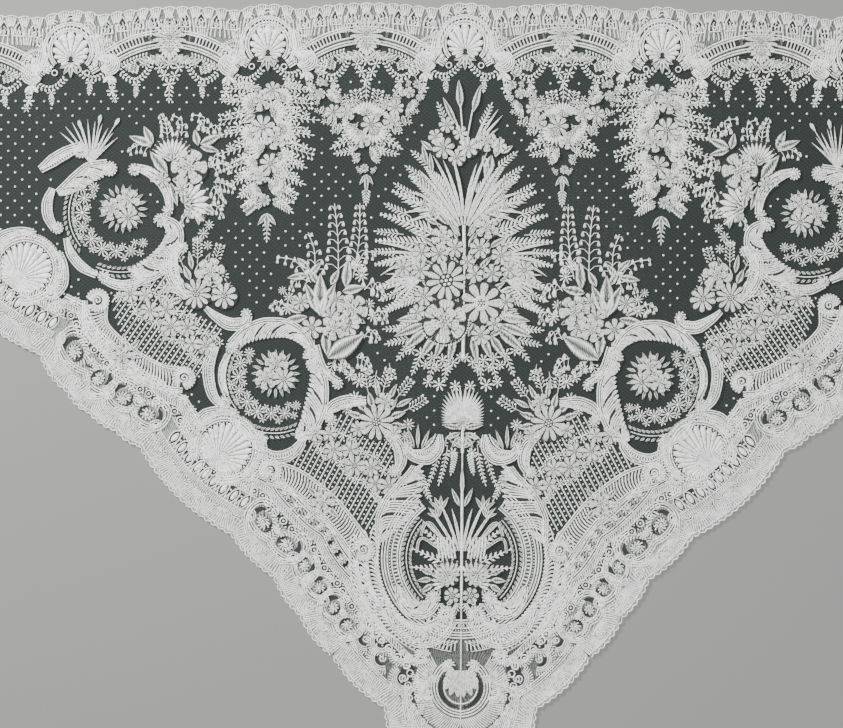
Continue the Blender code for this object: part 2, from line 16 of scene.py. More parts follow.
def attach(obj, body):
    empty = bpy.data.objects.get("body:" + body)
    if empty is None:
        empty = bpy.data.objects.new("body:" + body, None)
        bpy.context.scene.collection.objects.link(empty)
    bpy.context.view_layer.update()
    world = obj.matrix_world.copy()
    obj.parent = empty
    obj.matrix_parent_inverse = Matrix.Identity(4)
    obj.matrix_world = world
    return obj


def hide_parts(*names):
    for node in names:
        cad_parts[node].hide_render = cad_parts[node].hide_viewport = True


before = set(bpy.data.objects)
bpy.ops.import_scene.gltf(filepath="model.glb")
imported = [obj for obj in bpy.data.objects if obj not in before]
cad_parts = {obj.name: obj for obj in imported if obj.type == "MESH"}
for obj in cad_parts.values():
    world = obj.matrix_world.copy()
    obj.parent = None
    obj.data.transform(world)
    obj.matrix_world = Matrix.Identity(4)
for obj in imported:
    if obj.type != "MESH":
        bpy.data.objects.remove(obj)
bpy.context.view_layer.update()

# %% [markdown]
# Two kinds of thread make the shawl. The clothwork thread is thick, soft and off-white, with
# a brighter cord round each shape. The net thread is thin and reads as a dark grey-green.
# Both could be plain colours, but thread is never flat: its twist throws fine light and
# shade, and hand work is a little uneven. So each material has a weave in its bump and a
# slow change of tone in its colour.

# %% Helpers for materials
def new_material(name):
    """A material with nodes, its node tree and its main shader."""
    made = bpy.data.materials.new(name)
    made.use_nodes = True
    tree = made.node_tree
    return made, tree, tree.nodes["Principled BSDF"]


def node(tree, kind, operation=None, **values):
    """A new node, with sockets set by name."""
    made = tree.nodes.new(kind)
    if operation:
        made.operation = operation
    for name, value in values.items():
        made.inputs[name.replace("_", " ")].default_value = value
    return made


def wired(tree, source, output, target, target_input):
    """Links one node's output to another's input."""
    tree.links.new(source.outputs[output], target.inputs[target_input])


def cloth_place(tree, scale=(1, 1, 1), turn=(0, 0, 0)):
    """Coordinates on the cloth itself, in metres, scaled and turned."""
    place = node(tree, "ShaderNodeTexCoord")
    mapping = node(tree, "ShaderNodeMapping", Scale=scale, Rotation=turn)
    wired(tree, place, "Object", mapping, "Vector")
    return mapping


def mixed(tree, source, output, first, second):
    """A colour that goes from first to second as the source's value goes from 0 to 1."""
    mix = node(tree, "ShaderNodeMix")
    mix.data_type = "RGBA"
    wired(tree, source, output, mix, 0)
    for place, colour in ((6, first), (7, second)):
        if isinstance(colour, tuple):
            mix.inputs[place].default_value = colour
        else:
            wired(tree, colour, 2, mix, place)
    return mix


# %% [markdown]
# The filling is worked in fine wavy rows with the net between them, and a solid cord runs
# round each form. Filling, cord and opening could be three materials, but they pass into
# each other within one strip. So a value kept in the mesh says how closely each place is
# worked, and one material reads it.

# %% The clothwork thread
NET_TONE = (0.018, 0.023, 0.0205, 1)
FILLING_SHADE = (0.09, 0.102, 0.094, 1)
FILLING_TONE = (0.57, 0.60, 0.56, 1)
CORD_TONE = (0.86, 0.885, 0.85, 1)

TONE_CHANGES = (
    # scale and detail of the noise, its lower and upper limit, and the light left at each
    (38.0, 3.0, 0.3, 0.7, 0.86, 1.05),
    (240.0, 1.0, 0.36, 0.46, 0.62, 1.0),
    (850.0, 2.0, 0.3, 0.7, 0.76, 1.10),
)


def clothwork_material():
    """Off-white thread: cord, ribbed filling and openings, with a slow change of tone."""
    made, tree, shader = new_material("clothwork_thread")
    shader.inputs["Roughness"].default_value = 0.82
    shader.inputs["Specular IOR Level"].default_value = 0.25
    shader.inputs["Sheen Weight"].default_value = 0.12
    shader.inputs["Sheen Roughness"].default_value = 0.6

    # the filling is worked in fine wavy ribs, with the dark net between them
    ribs = node(tree, "ShaderNodeTexWave", Scale=92.0, Distortion=24.0, Detail=0.0, Detail_Scale=0.35)
    wired(tree, cloth_place(tree), "Vector", ribs, "Vector")
    ribbed = mixed(tree, ribs, "Fac", FILLING_SHADE, FILLING_TONE)

    # 1 is a full cord, 0 the thin filling, and -1 an opening, where the net alone shows
    worked = node(tree, "ShaderNodeAttribute")
    worked.attribute_name = "worked"
    opened = node(tree, "ShaderNodeMapRange", From_Min=-0.9, From_Max=-0.1, To_Min=0.0, To_Max=1.0)
    wired(tree, worked, "Fac", opened, "Value")
    filled = mixed(tree, worked, "Fac", ribbed, CORD_TONE)
    toned = mixed(tree, opened, "Result", NET_TONE, filled)

    # slow change of tone over the hand, small specks of open work, and the thread's own grain
    shade, output = toned, 2
    for scale, detail, low, high, dark, light in TONE_CHANGES:
        noise = node(tree, "ShaderNodeTexNoise", Scale=scale, Detail=detail)
        wired(tree, cloth_place(tree), "Vector", noise, "Vector")
        ranged = node(tree, "ShaderNodeMapRange", From_Min=low, From_Max=high, To_Min=dark, To_Max=light)
        wired(tree, noise, "Fac", ranged, "Value")
        darkened = node(tree, "ShaderNodeVectorMath", "SCALE")
        wired(tree, shade, output, darkened, 0)
        wired(tree, ranged, "Result", darkened, "Scale")
        shade, output = darkened, "Vector"
    wired(tree, shade, output, shader, "Base Color")

    # rows of thread as a bump
    rows = node(tree, "ShaderNodeTexWave", Scale=330.0, Distortion=2.5, Detail=2.0)
    wired(tree, cloth_place(tree, turn=(0, 0, 0.9)), "Vector", rows, "Vector")
    bump = node(tree, "ShaderNodeBump", Strength=0.35, Distance=0.0004)
    wired(tree, rows, "Fac", bump, "Height")
    wired(tree, bump, "Normal", shader, "Normal")
    return made


# %% [markdown]
# The net has far too many meshes to build each as a form. A plain dark colour would hide
# what lies below it, so the material is thread round each mesh and clear in its middle.

# %% The net thread
MESH_SIZE = 0.0021  # one mesh of the net, in metres


def net_material():
    """Dark thread round each mesh of the net, and nothing in its middle."""
    made, tree, shader = new_material("net_thread")
    shader.inputs["Roughness"].default_value = 0.9
    shader.inputs["Specular IOR Level"].default_value = 0.15

    # the meshes: thread where two cells meet, and a small hole in each cell
    cells = node(tree, "ShaderNodeTexVoronoi", Randomness=0.25, Scale=1.0 / MESH_SIZE)
    cells.feature = "DISTANCE_TO_EDGE"
    wired(tree, cloth_place(tree, scale=(1, 0.87, 1)), "Vector", cells, "Vector")
    thread = node(tree, "ShaderNodeMapRange", From_Min=0.36, From_Max=0.42, To_Min=1.0, To_Max=0.0)
    wired(tree, cells, "Distance", thread, "Value")
    wired(tree, thread, "Result", shader, "Alpha")

    # faint slanting lines, where the machine's thread ran a little tighter
    lines = node(tree, "ShaderNodeTexWave", Scale=70.0)
    wired(tree, cloth_place(tree, turn=(0, 0, 0.96)), "Vector", lines, "Vector")
    crossing = node(tree, "ShaderNodeTexWave", Scale=61.0)
    wired(tree, cloth_place(tree, turn=(0, 0, -0.9)), "Vector", crossing, "Vector")
    product = node(tree, "ShaderNodeMath", "MULTIPLY")
    wired(tree, lines, "Fac", product, 0)
    wired(tree, crossing, "Fac", product, 1)
    tone = node(tree, "ShaderNodeValToRGB")
    tone.color_ramp.elements[0].position = 0.1
    tone.color_ramp.elements[0].color = (0.0165, 0.021, 0.019, 1)
    tone.color_ramp.elements[1].position = 1.0
    tone.color_ramp.elements[1].color = (0.0265, 0.0325, 0.0297, 1)
    wired(tree, product, "Value", tone, "Fac")
    wired(tree, tone, "Color", shader, "Base Color")
    return made


CLOTHWORK = clothwork_material()
NET = net_material()
print("materials:", CLOTHWORK.name, NET.name)

# %% [markdown]
# Every worked shape, from a rose petal to a rung of a ladder, is a strip of thread that runs
# along a line. A strip could be a curve object with a bevel, but the shawl has thousands of
# them, so here many strips are built at once as rows of points: a line, a width at each
# point of it, and a section that says how high and how closely worked each part of the
# width is. The class below gathers the strips of one piece and turns them into one mesh.

# %% The strips of clothwork
MM = 0.001
LACE_BASE = 1.15  # the underside of the clothwork above the floor, in millimetres
RELIEF = 1.5  # how far a full cord stands up

# sections across a strip: place from -1 to 1, height, and how closely it is worked
CORD = [(-1, 0.0, 0.7), (-0.4, 0.92, 1.0), (0.4, 0.92, 1.0), (1, 0.0, 0.7)]
RIB = [(-1, 0.0, 0.6), (0, 0.9, 1.0), (1, 0.0, 0.6)]
OPENING = [(-1, 0.05, -1.0), (0, 0.12, -1.0), (1, 0.05, -1.0)]


def both_halves(half):
    """A section from its left half; a last place of 0 is the middle line."""
    right = [(-across, rise, work) for across, rise, work in reversed(half)]
    return half + (right[1:] if half[-1][0] == 0 else right)


# leaves and petals have a rim of open net round their cord, so that each stands apart
RIM = [(-1, 0.42, -1.5), (-0.74, 0.55, 0.2)]
FLAT = both_halves([(-1, 0.42, -1.6), (-0.62, 0.75, 1.0), (0, 0.5, 0.3)])
VEINED = both_halves(RIM + [(-0.62, 1.0, 1.0), (-0.36, 0.5, 0.2), (-0.08, 0.3, -0.7)])
PETAL = both_halves(RIM + [(-0.62, 0.95, 1.0), (-0.40, 0.35, -0.1), (-0.18, 0.8, 0.95), (0, 0.4, 0.0)])


class Clothwork:
    """Rows of points, in millimetres, gathered into one mesh."""

    def __init__(self):
        self.points, self.worked, self.faces, self.count = [], [], [], 0

    def grids(self, points, worked, closed=False):
        """Surfaces from points (surface, row, column, xyz), with how closely each is worked."""
        number, rows, columns, _ = points.shape
        index = np.arange(number * rows * columns).reshape(number, rows, columns) + self.count
        if closed:
            index = np.concatenate([index, index[:, :, :1]], axis=2)
        corners = [index[:, :-1, :-1], index[:, 1:, :-1], index[:, 1:, 1:], index[:, :-1, 1:]]
        self.faces.append(np.stack(corners, axis=-1).reshape(-1, 4))
        self.points.append(points.reshape(-1, 3))
        self.worked.append(np.broadcast_to(worked, (number, rows, columns)).reshape(-1))
        self.count += number * rows * columns

    def strips(self, paths, halves, section=CORD, level=0.0):
        """Strips along paths (strip, point, xy), with the half width at each point."""
        paths = np.asarray(paths, float)
        paths = paths[None] if paths.ndim == 2 else paths
        halves = np.broadcast_to(np.asarray(halves, float), paths.shape[:2])
        section = np.asarray(section, float)
        along = np.gradient(paths, axis=1)
        along /= np.linalg.norm(along, axis=2, keepdims=True) + 1e-9
        left = np.stack([-along[..., 1], along[..., 0]], axis=-1)
        shift = halves[:, :, None] * section[:, 0]
        plane = paths[:, :, None, :] + left[:, :, None, :] * shift[..., None]
        fullness = np.clip(halves / 0.9, 0.25, 1.0)[:, :, None]
        rise = LACE_BASE + level + RELIEF * section[:, 1] * fullness
        self.grids(np.concatenate([plane, rise[..., None]], axis=-1)[:, :, ::-1], section[::-1, 2])

    def cords(self, paths, halves, level=0.0):
        """Full cords."""
        self.strips(paths, halves, CORD, level)

    def ribs(self, paths, halves, level=0.0):
        """Ribs of plain thread."""
        self.strips(paths, halves, RIB, level)

    def patch(self, plane, level=-0.3, worked=0.0):
        """One thin even surface through rows of places."""
        plane = np.asarray(plane, float)
        high = np.full(plane.shape[:2] + (1,), LACE_BASE + level)
        self.grids(np.concatenate([plane, high], axis=-1)[None], worked)

    def dots(self, centres, radius, level=0.0, sides=6, worked=1.0, rise=RELIEF):
        """Small raised dots."""
        centres = np.atleast_2d(np.asarray(centres, float))
        radius = np.broadcast_to(np.asarray(radius, float), (len(centres),))
        angle = np.linspace(0, 2 * np.pi, sides, endpoint=False)
        rim = np.stack([np.cos(angle), np.sin(angle)], axis=-1)
        rings = []
        for reach, height in ((1.0, 0.0), (0.6, 0.75), (0.02, 0.95)):
            plane = centres[:, None, :] + rim * radius[:, None, None] * reach
            high = np.full((len(centres), sides, 1), LACE_BASE + level + rise * height)
            rings.append(np.concatenate([plane, high], axis=-1))
        self.grids(np.stack(rings, axis=1)[:, ::-1], worked, closed=True)

    def both_sides(self):
        """Adds the mirror image of all that is there, across the shawl's middle, where it is cut."""
        self.points = [np.maximum(points, (0, -np.inf, -np.inf)) for points in self.points]
        self.faces += [faces[:, ::-1] + self.count for faces in self.faces]
        self.points += [points * (-1, 1, 1) for points in self.points]
        self.worked += list(self.worked)
        self.count *= 2

    def piece(self, name, mirrored=False):
        """All of it as one object, or its mirror image."""
        points = np.concatenate(self.points) * MM
        faces = np.concatenate(self.faces)
        if mirrored:
            points = points * (-1, 1, 1)
            faces = faces[:, ::-1]
        mesh = bpy.data.meshes.new(name)
        mesh.from_pydata(points.tolist(), [], faces.tolist())
        mesh.attributes.new("worked", "FLOAT", "POINT").data.foreach_set("value", np.concatenate(self.worked))
        mesh.shade_smooth()
        mesh.materials.append(CLOTHWORK)
        made = bpy.data.objects.new(name, mesh)
        bpy.context.scene.collection.objects.link(made)
        print(name, len(faces) * 2, "triangles")
        return made


# %% [markdown]
# A pattern is easier to draw in its own directions than in x and y. A shell is drawn by
# angle and distance from its root, and a border by the way along the edge and the depth
# below it. Each of these is a small function, here called a ground, that turns such a pair
# into a place on the shawl.

# %% Grounds to draw on
def together(*values):
    """The values as arrays of one shape."""
    return np.broadcast_arrays(*[np.asarray(value, float) for value in values])


def around(x, y, turn=0):
    """A ground of an angle in degrees and a distance from (x, y)."""
    def at(degrees, reach):
        angle = np.radians(np.asarray(degrees, float) + turn)
        return np.stack(np.broadcast_arrays(x + reach * np.cos(angle), y + reach * np.sin(angle)), axis=-1)
    return at


def turned(x, y, turn=0):
    """A ground of plain distances along and across, from (x, y)."""
    c, s = np.cos(np.radians(turn)), np.sin(np.radians(turn))

    def at(u, v):
        u, v = together(u, v)
        return np.stack([x + u * c - v * s, y + u * s + v * c], axis=-1)
    return at


def around_on(at, u, v):
    """Angle and distance from a place on another ground."""
    def place(degrees, reach):
        angle = np.radians(np.asarray(degrees, float))
        return at(u + reach * np.cos(angle), v + reach * np.sin(angle))
    return place


def smooth_line(points, spacing=2):
    """A smooth curve through points, as closely spaced points."""
    points = np.asarray(points, float)
    ends = np.concatenate([[2 * points[0] - points[1]], points, [2 * points[-1] - points[-2]]])
    line = []
    for a, b, c, d in zip(ends, ends[1:], ends[2:], ends[3:]):
        steps = max(int(np.linalg.norm(c - b) / spacing), 2)
        t = np.linspace(0, 1, steps, endpoint=False)[:, None]
        line.append(0.5 * (2 * b + (c - a) * t + (2 * a - 5 * b + 4 * c - d) * t ** 2
                           + (3 * b - a - 3 * c + d) * t ** 3))
    return np.concatenate(line + [points[-1:]])


class LineGround:
    """A ground of the way along a line, and the distance to its left."""

    def __init__(self, line, settle=1):
        self.line = np.asarray(line, float)
        steps = np.linalg.norm(np.diff(self.line, axis=0), axis=1)
        self.way = np.concatenate([[0], np.cumsum(steps)])
        self.length = self.way[-1]
        along = np.gradient(self.line, axis=0)
        left = np.stack([-along[:, 1], along[:, 0]], axis=-1)
        left /= np.linalg.norm(left, axis=1, keepdims=True) + 1e-9
        if settle > 1:
            padded = np.pad(left, ((settle, settle), (0, 0)), mode="edge")
            kernel = np.ones(2 * settle + 1) / (2 * settle + 1)
            left = np.stack([np.convolve(padded[:, i], kernel, mode="valid") for i in (0, 1)], axis=-1)
            left /= np.linalg.norm(left, axis=1, keepdims=True)
        self.left = left

    def __call__(self, way, depth):
        way, depth = together(way, depth)
        place = [np.interp(way, self.way, self.line[:, i]) for i in (0, 1)]
        aside = [np.interp(way, self.way, self.left[:, i]) for i in (0, 1)]
        return np.stack([place[i] + aside[i] * depth for i in (0, 1)], axis=-1)


def steps_of(count):
    """Even steps from 0 to 1."""
    return np.linspace(0, 1, count)


def heading_at(ground, way):
    """The direction in degrees of a ground's line at some way along it."""
    ahead = ground(way + 0.5, 0) - ground(way - 0.5, 0)
    return np.degrees(np.arctan2(ahead[..., 1], ahead[..., 0]))


def leaning(side, degrees):
    """An angle of the right half, or its mirror image where side is -1."""
    return 90 - side * (90 - np.asarray(degrees, float))


def mirrored_rows(side, rows):
    """Rows of place and angle of the right half, or their mirror images where side is -1."""
    return [(side * x, y, leaning(side, degrees), *rest) for x, y, degrees, *rest in rows]


# %% [markdown]
# The small forms come back in every spray: leaves and blades, round flowers with ribbed
# petals, little stars, twigs and hanging bells. In real work each is learnt once and then
# repeated, and so it is here. All are drawn from ordinary garden plants.

# %% Leaves and stems
LEAF_SHAPE = ((0, 0.12, 0.35, 0.6, 0.82, 1), (0.10, 0.55, 1, 0.86, 0.45, 0.02))
REED_SHAPE = ((0, 0.2, 0.6, 0.85, 1), (0.45, 0.9, 1, 0.6, 0.05))
DROP_SHAPE = ((0, 0.3, 0.65, 0.9, 1), (0.15, 0.6, 1, 0.7, 0.15))


def arching(feet, degrees, lengths, bends=0, steps=8):
    """Lines that start at feet and bend evenly on their way."""
    feet = np.atleast_2d(np.asarray(feet, float))
    number = max(len(feet), np.size(degrees), np.size(lengths), np.size(bends))
    feet = np.broadcast_to(feet, (number, 2))
    values = [np.asarray(value, float) for value in (degrees, lengths, bends)]
    degrees, lengths, bends = (np.broadcast_to(value, (number,)) for value in values)
    t = (np.arange(steps - 1) + 0.5) / (steps - 1)
    heading = np.radians(degrees[:, None] + bends[:, None] * t)
    pace = lengths[:, None] / (steps - 1)
    moves = np.stack([np.cos(heading) * pace, np.sin(heading) * pace], axis=-1)
    start = np.zeros((number, 1, 2))
    return feet[:, None, :] + np.concatenate([start, np.cumsum(moves, axis=1)], axis=1)


def half_widths(shape, widths, steps):
    """Half the width at each step of a strip, from its shape and its greatest width."""
    widths = np.atleast_1d(np.asarray(widths, float))
    return widths[:, None] / 2 * np.interp(steps_of(steps), *shape)


def leaves(lace, feet, degrees, lengths, widths, bends=0, level=0):
    """Corded leaves with a vein down the middle."""
    paths = arching(feet, degrees, lengths, bends, 7)
    lace.strips(paths, half_widths(LEAF_SHAPE, widths, 7), VEINED, level)


def blades(lace, feet, degrees, lengths, widths, bends=0, level=0,
           shape=REED_SHAPE, steps=6, section=RIB):
    """Plain narrow leaves and small petals."""
    paths = arching(feet, degrees, lengths, bends, steps)
    lace.strips(paths, half_widths(shape, widths, steps), section, level)


def stem(lace, points, half=0.9, level=0):
    """A corded stem through points; returns its ground."""
    line = smooth_line(points, 6)
    lace.cords(line, half, level)
    return LineGround(line)


def twig(lace, x, y, degrees, length, bend=0, pairs=5, leaf=7, level=0):
    """A thin stem with pairs of tiny leaves."""
    path = arching((x, y), degrees, length, bend, 10)[0]
    lace.ribs(path, 0.6, level)
    ground = LineGround(path)
    way = np.linspace(0.2, 0.92, pairs) * ground.length
    heading = degrees + bend * way / ground.length
    for side in (-1, 1):
        blades(lace, ground(way, 0), heading + side * 48, leaf * np.linspace(1.1, 0.7, pairs), 2.8,
               level=level, shape=DROP_SHAPE, steps=4)
    blades(lace, path[-1:], degrees + bend, leaf * 0.8, 2.8, level=level, shape=DROP_SHAPE, steps=4)


def fern(lace, x, y, degrees, length, width, bend=0, pairs=11, level=0):
    """A fern frond: many narrow leaflets on both sides, shorter towards the tip."""
    path = arching((x, y), degrees, length, bend, 12)[0]
    lace.ribs(path, 0.9, level)
    ground = LineGround(path)
    t = np.linspace(0.08, 0.97, pairs)
    reach = width / 2 * (1.15 - t) / 0.9
    for side in (-1, 1):
        blades(lace, ground(t * ground.length, 0), degrees + bend * t + side * 52, reach, 3.6,
               -side * 14, level, REED_SHAPE, 5)


# %% [markdown]
# A worked flower is a ring of petals round a heart of seeds, and each petal has a cord round
# it and ribs in it. A disc with a bumpy finish would be quicker, but its petals would run
# together, so each petal is a strip of its own, on a dark disc that keeps it clear of what
# lies below.

# %% Flowers
def bloom(lace, x, y, radius, petals=8, turn=0, level=0.8, heart=0.24, section=PETAL):
    """A round flower: ribbed petals that fill a ring on a dark ground, and a heart of seeds."""
    t = np.array([0, 0.3, 0.55, 0.75, 0.9, 1])
    reach = radius * (heart + (1 - heart) * t)
    rounding = np.sqrt(np.clip(1 - np.clip((t - 0.52) / 0.5, 0, 1) ** 2, 0, 1))
    halves = reach * np.tan(np.pi / petals) * rounding * 0.9
    degrees = turn + 360 / petals * np.arange(petals)[:, None]
    disc_patch(lace, around(x, y), radius * 1.1, level - 0.1, -0.9, 14)
    lace.strips(around(x, y)(degrees, reach), halves, section, level)
    disc_patch(lace, around(x, y), radius * (heart + 0.08), level + 0.5, -1, 10)
    seeds = around(x, y)(np.arange(6) * 60 + turn, radius * heart * 0.62)
    lace.dots(np.concatenate([seeds, [[x, y]]]), radius * heart * 0.24, level + 0.6, 5)


def leaf_rows(lace, rows, level=0.4):
    """Leaves from rows of foot, angle, length and width."""
    x, y, degrees, lengths, widths = np.array(rows, float).T
    leaves(lace, np.column_stack([x, y]), degrees, lengths, widths, 0, level)


def rose(lace, x, y, radius, turn=0, level=0.8):
    """A full rose: rings of cupped petals, each lifted over the one outside it."""
    bloom(lace, x, y, radius, 6, turn, level, 0.5)
    bloom(lace, x, y, radius * 0.66, 5, turn + 30, level + 0.7, 0.4)
    bloom(lace, x, y, radius * 0.36, 4, turn + 10, level + 1.3, 0.2, VEINED)


def bloom_rows(lace, rows, level=1):
    """Flowers from rows of place, radius and number of petals; 0 petals makes a full rose."""
    for x, y, radius, petals in rows:
        if petals:
            bloom(lace, x, y, radius, petals, x, level)
        else:
            rose(lace, x, y, radius, x, level)


def half_bloom(lace, x, y, radius, facing, ribs=9, level=1):
    """A flower seen from the side: a fan of petals with a dotted rim, over a small cup."""
    degrees = facing + np.linspace(-72, 72, ribs)
    full = radius * (0.85 + 0.15 * np.cos(np.radians(degrees - facing)))
    width = full * np.radians(144 / (ribs - 1)) * 0.72
    out = around(x, y)
    dark_fan = out(degrees[:, None], np.stack([full * 0.05, full * 1.12], axis=1))
    lace.patch(dark_fan[::-1], level - 0.1, -1)
    blades(lace, out(degrees, radius * 0.3), degrees, full * 0.7, width, 0, level, DROP_SHAPE, 5)
    lace.dots(out(degrees, full * 1.08), width * 0.22, level + 0.3, 5)
    cup = facing + np.array([-60, 0, 60])
    leaves(lace, out(cup, radius * 0.02), cup, radius * 0.42, radius * 0.30, 0, level + 0.7)


def stars(lace, centres, radius, points=6, turn=0, level=0.3):
    """Small star flowers: pointed petals round a dot."""
    centres = np.atleast_2d(np.asarray(centres, float))
    radius = np.broadcast_to(np.asarray(radius, float), (len(centres),))
    turn = np.broadcast_to(np.asarray(turn, float), (len(centres),))
    for i in range(points):
        degrees = turn + 360 / points * i
        out = np.stack([np.cos(np.radians(degrees)), np.sin(np.radians(degrees))], axis=-1)
        blades(lace, centres + out * radius[:, None] * 0.2, degrees, radius * 0.85, radius * 2.3 / points,
               level=level, shape=DROP_SHAPE, steps=4)
    lace.dots(centres, radius * 0.22, level + 0.3, 6)


def star_rows(lace, rows, points, turn, level):
    """Star flowers from rows of place and radius."""
    x, y, radius = np.array(rows, float).T
    stars(lace, np.column_stack([x, y]), radius, points, turn, level)


def bells(lace, feet, degrees, size=9, level=0.3):
    """Hanging bell flowers of three narrow petals each."""
    for spread in (-24, 0, 24):
        heading = np.asarray(degrees) + spread
        blades(lace, feet, heading, size, size * 0.26, -spread * 0.9, level, DROP_SHAPE, 4)


def bell_spray(lace, points, count=9, size=9, reach=9, level=0.3, hang=-90):
    """An arching stem, with bells that hang from it on short stalks at both sides."""
    ground = stem(lace, points, 0.7, level)
    way = np.linspace(0.18, 0.97, count) * ground.length
    for side in (-1, 1):
        feet = ground(way, side * reach * np.linspace(1.15, 0.45, count))
        roots = ground(way - reach * 0.5, 0)
        lace.ribs(np.stack([roots, (roots + feet) / 2 + [0, reach * 0.2], feet], axis=1), 0.5, level)
        bells(lace, feet, np.full(count, hang), size * np.linspace(1.1, 0.8, count), level)


def sprig(lace, x, y, degrees, length, bend=0, count=5, size=5, level=0.2):
    """A forked sprig that ends in small buds."""
    path = arching((x, y), degrees, length, bend, 10)[0]
    lace.ribs(path, 0.55, level)
    ground = LineGround(path)
    way = np.linspace(0.3, 0.95, count) * ground.length
    for side in (-1, 1):
        feet = ground(way + size, side * size * 1.3)
        lace.ribs(np.stack([ground(way, 0), feet], axis=1), 0.45, level)
        lace.dots(feet, size * 0.36, level, 6)
    lace.dots(path[-1:], size * 0.4, level, 6)


# %% [markdown]
# Scrolls frame the medallions. On the real lace a scroll is a band between cords, with
# bent ribs of thread across it, and it ends in a curl like a snail's. The band could be
# one wide strip with a ribbed picture on it, but then it would have no true gaps, so each
# rib is a strip of its own, over a dark band. Leafy scrolls have barbs like a feather's in
# place of the ribs, and a row of leaf tips.

# %% Scrolls, curls and rings
def ribs_across(lace, at, start, end, low, high, pitch=3.6, half=1.2, slant=4, bow=0, level=0):
    """Slanting ribs between two depths of a ground; the depths may change on the way."""
    way = np.arange(start, end, pitch)
    if len(way) < 2:
        return
    low = np.interp(way, np.linspace(start, end, np.size(low)), np.atleast_1d(low))
    high = np.interp(way, np.linspace(start, end, np.size(high)), np.atleast_1d(high))
    t = steps_of(4)
    depth = low[:, None] + (high - low)[:, None] * t
    lace.ribs(at(way[:, None] + slant * (t - 0.5) + bow * np.sin(np.pi * t), depth), half, level)


def barbs(lace, ground, low, high, pitch=4.8, run=26, half=1.3, level=0):
    """Barbs like a feather's: they run on along the ground, and then out to its front."""
    way = np.arange(-run * 0.8, ground.length - run * 0.2, pitch)
    way = way[np.arange(len(way)) % 6 != 0]
    first = np.clip(-way / run, 0, 0.8)
    last = np.clip((ground.length - way) / run, 0.2, 1)
    t = first[:, None] + (last - first)[:, None] * steps_of(6)
    place = way[:, None] + run * t
    share = np.linspace(0, ground.length, len(low))
    low, high = np.interp(place, share, low), np.interp(place, share, high)
    lace.ribs(ground(place, low + (high - low) * t ** 1.5), half, level)


def fan_ribs(lace, centre, inner, outer, start, end, count, half=1.2, bend=12, level=0.2):
    """Bent ribs that spread round a place."""
    t = steps_of(4)
    degrees = np.linspace(start, end, count)[:, None] + bend * t
    inner, outer = (np.broadcast_to(np.asarray(v, float), (count,))[:, None] for v in (inner, outer))
    lace.ribs(centre(degrees, inner + (outer - inner) * t), half, level)


def curl(lace, centre, radius, degrees, side=1, level=0.6, turns=1.9, half=1.3):
    """A snail's curl, wound in from its rim."""
    t = steps_of(int(24 * turns))
    reach = (radius - half) * (1 - 0.85 * t ** 0.9)
    lace.cords(centre(degrees + side * 360 * turns * t, reach), half, level)


def disc_patch(lace, centre, radius, level=-0.25, worked=0.1, sides=14):
    """A thin round filling."""
    angle = np.linspace(360, 0, sides + 1)
    lace.patch(centre(angle[None, :], np.array([[0.01], [1]]) * radius), level, worked)


def volute(lace, centre, radius, degrees, side=1, level=0.5):
    """A ribbed snail: bent ribs round a curl."""
    disc_patch(lace, centre, radius * 1.08, level + 0.4, -1)
    fan_ribs(lace, centre, radius * 0.42, radius, degrees, degrees + side * 310, max(int(radius * 1.1), 9),
             radius * 0.035 + 0.9, side * 25, level + 0.6)
    curl(lace, centre, radius * 0.46, degrees + side * 300, side, level + 0.8, 1.4, 1 + radius * 0.02)


def scroll(lace, points, widths, curls=(0, 0), side=1, level=0.3,
           slant=9, pitch=4, leafy=0, bow=3):
    """A ribbed band between cords. Its curls and leaf tips lie on the left (side 1) or right."""
    ground = LineGround(smooth_line(points, 3), 2)
    way = np.linspace(0, ground.length, max(int(ground.length / 4), 8))
    half = np.interp(way, np.linspace(0, ground.length, len(widths)), np.asarray(widths) / 2)
    dark_band = ground(way[:, None], (half[:, None] + 1.2) * np.array([1, 0, -1]))
    lace.patch(dark_band, level - 0.1, -1)
    # three cords along the back, and one along the front if it has no leaves
    for edge, step in ((-side, 0.8), (-side, 4.4), (-side, 8), (side, 0.8)):
        if edge == -side or not leafy:
            lace.cords(ground(way, edge * np.maximum(half - step, 0)), 1.1, level + 0.3)
    low, high = -side * np.maximum(half - 9.4, 0), side * (half - (2.8 if not leafy else 0))
    if leafy:
        barbs(lace, ground, low, high, level=level)
        tips = np.arange(leafy * 0.5, ground.length, leafy * 0.95)
        feet = ground(tips, side * (np.interp(tips, way, half) - leafy * 0.9))
        blades(lace, feet, heading_at(ground, tips) + side * 42, leafy * 1.5, leafy * 0.8,
               side * 24, level + 0.2, DROP_SHAPE, 5, FLAT)
    else:
        ribs_across(lace, ground, 1, ground.length - 1, low, high,
                    pitch + 0.6, pitch * 0.33, side * slant, bow, level)
    for place, radius, start, wind in ((0, curls[0], 180, -side), (ground.length, curls[1], 0, side)):
        if radius:
            x, y = ground(place, side * radius * 0.5)
            facing = heading_at(ground, place) + start - 90 * side
            volute(lace, around(x, y), radius, facing, wind, level + 0.4)


def rings(lace, centres, radius, half=0.8, level=0.3, steps=17):
    """Plain rings of cord."""
    centres = np.atleast_2d(np.asarray(centres, float))
    angle = np.linspace(0, 2 * np.pi, steps)
    radius = np.broadcast_to(np.asarray(radius, float), (len(centres),))
    circle = np.stack([np.cos(angle), np.sin(angle)], axis=-1)
    lace.cords(centres[:, None, :] + circle * radius[:, None, None], half, level)


# %% [markdown]
# Shells, beaded swags and dark openings fill the borders. In the real lace an opening is a
# place with no clothwork, where the net shows. Leaving it out of a filling would need a hole
# cut in each patch, so here it is a strip of its own, in the net's tone, over the filling.

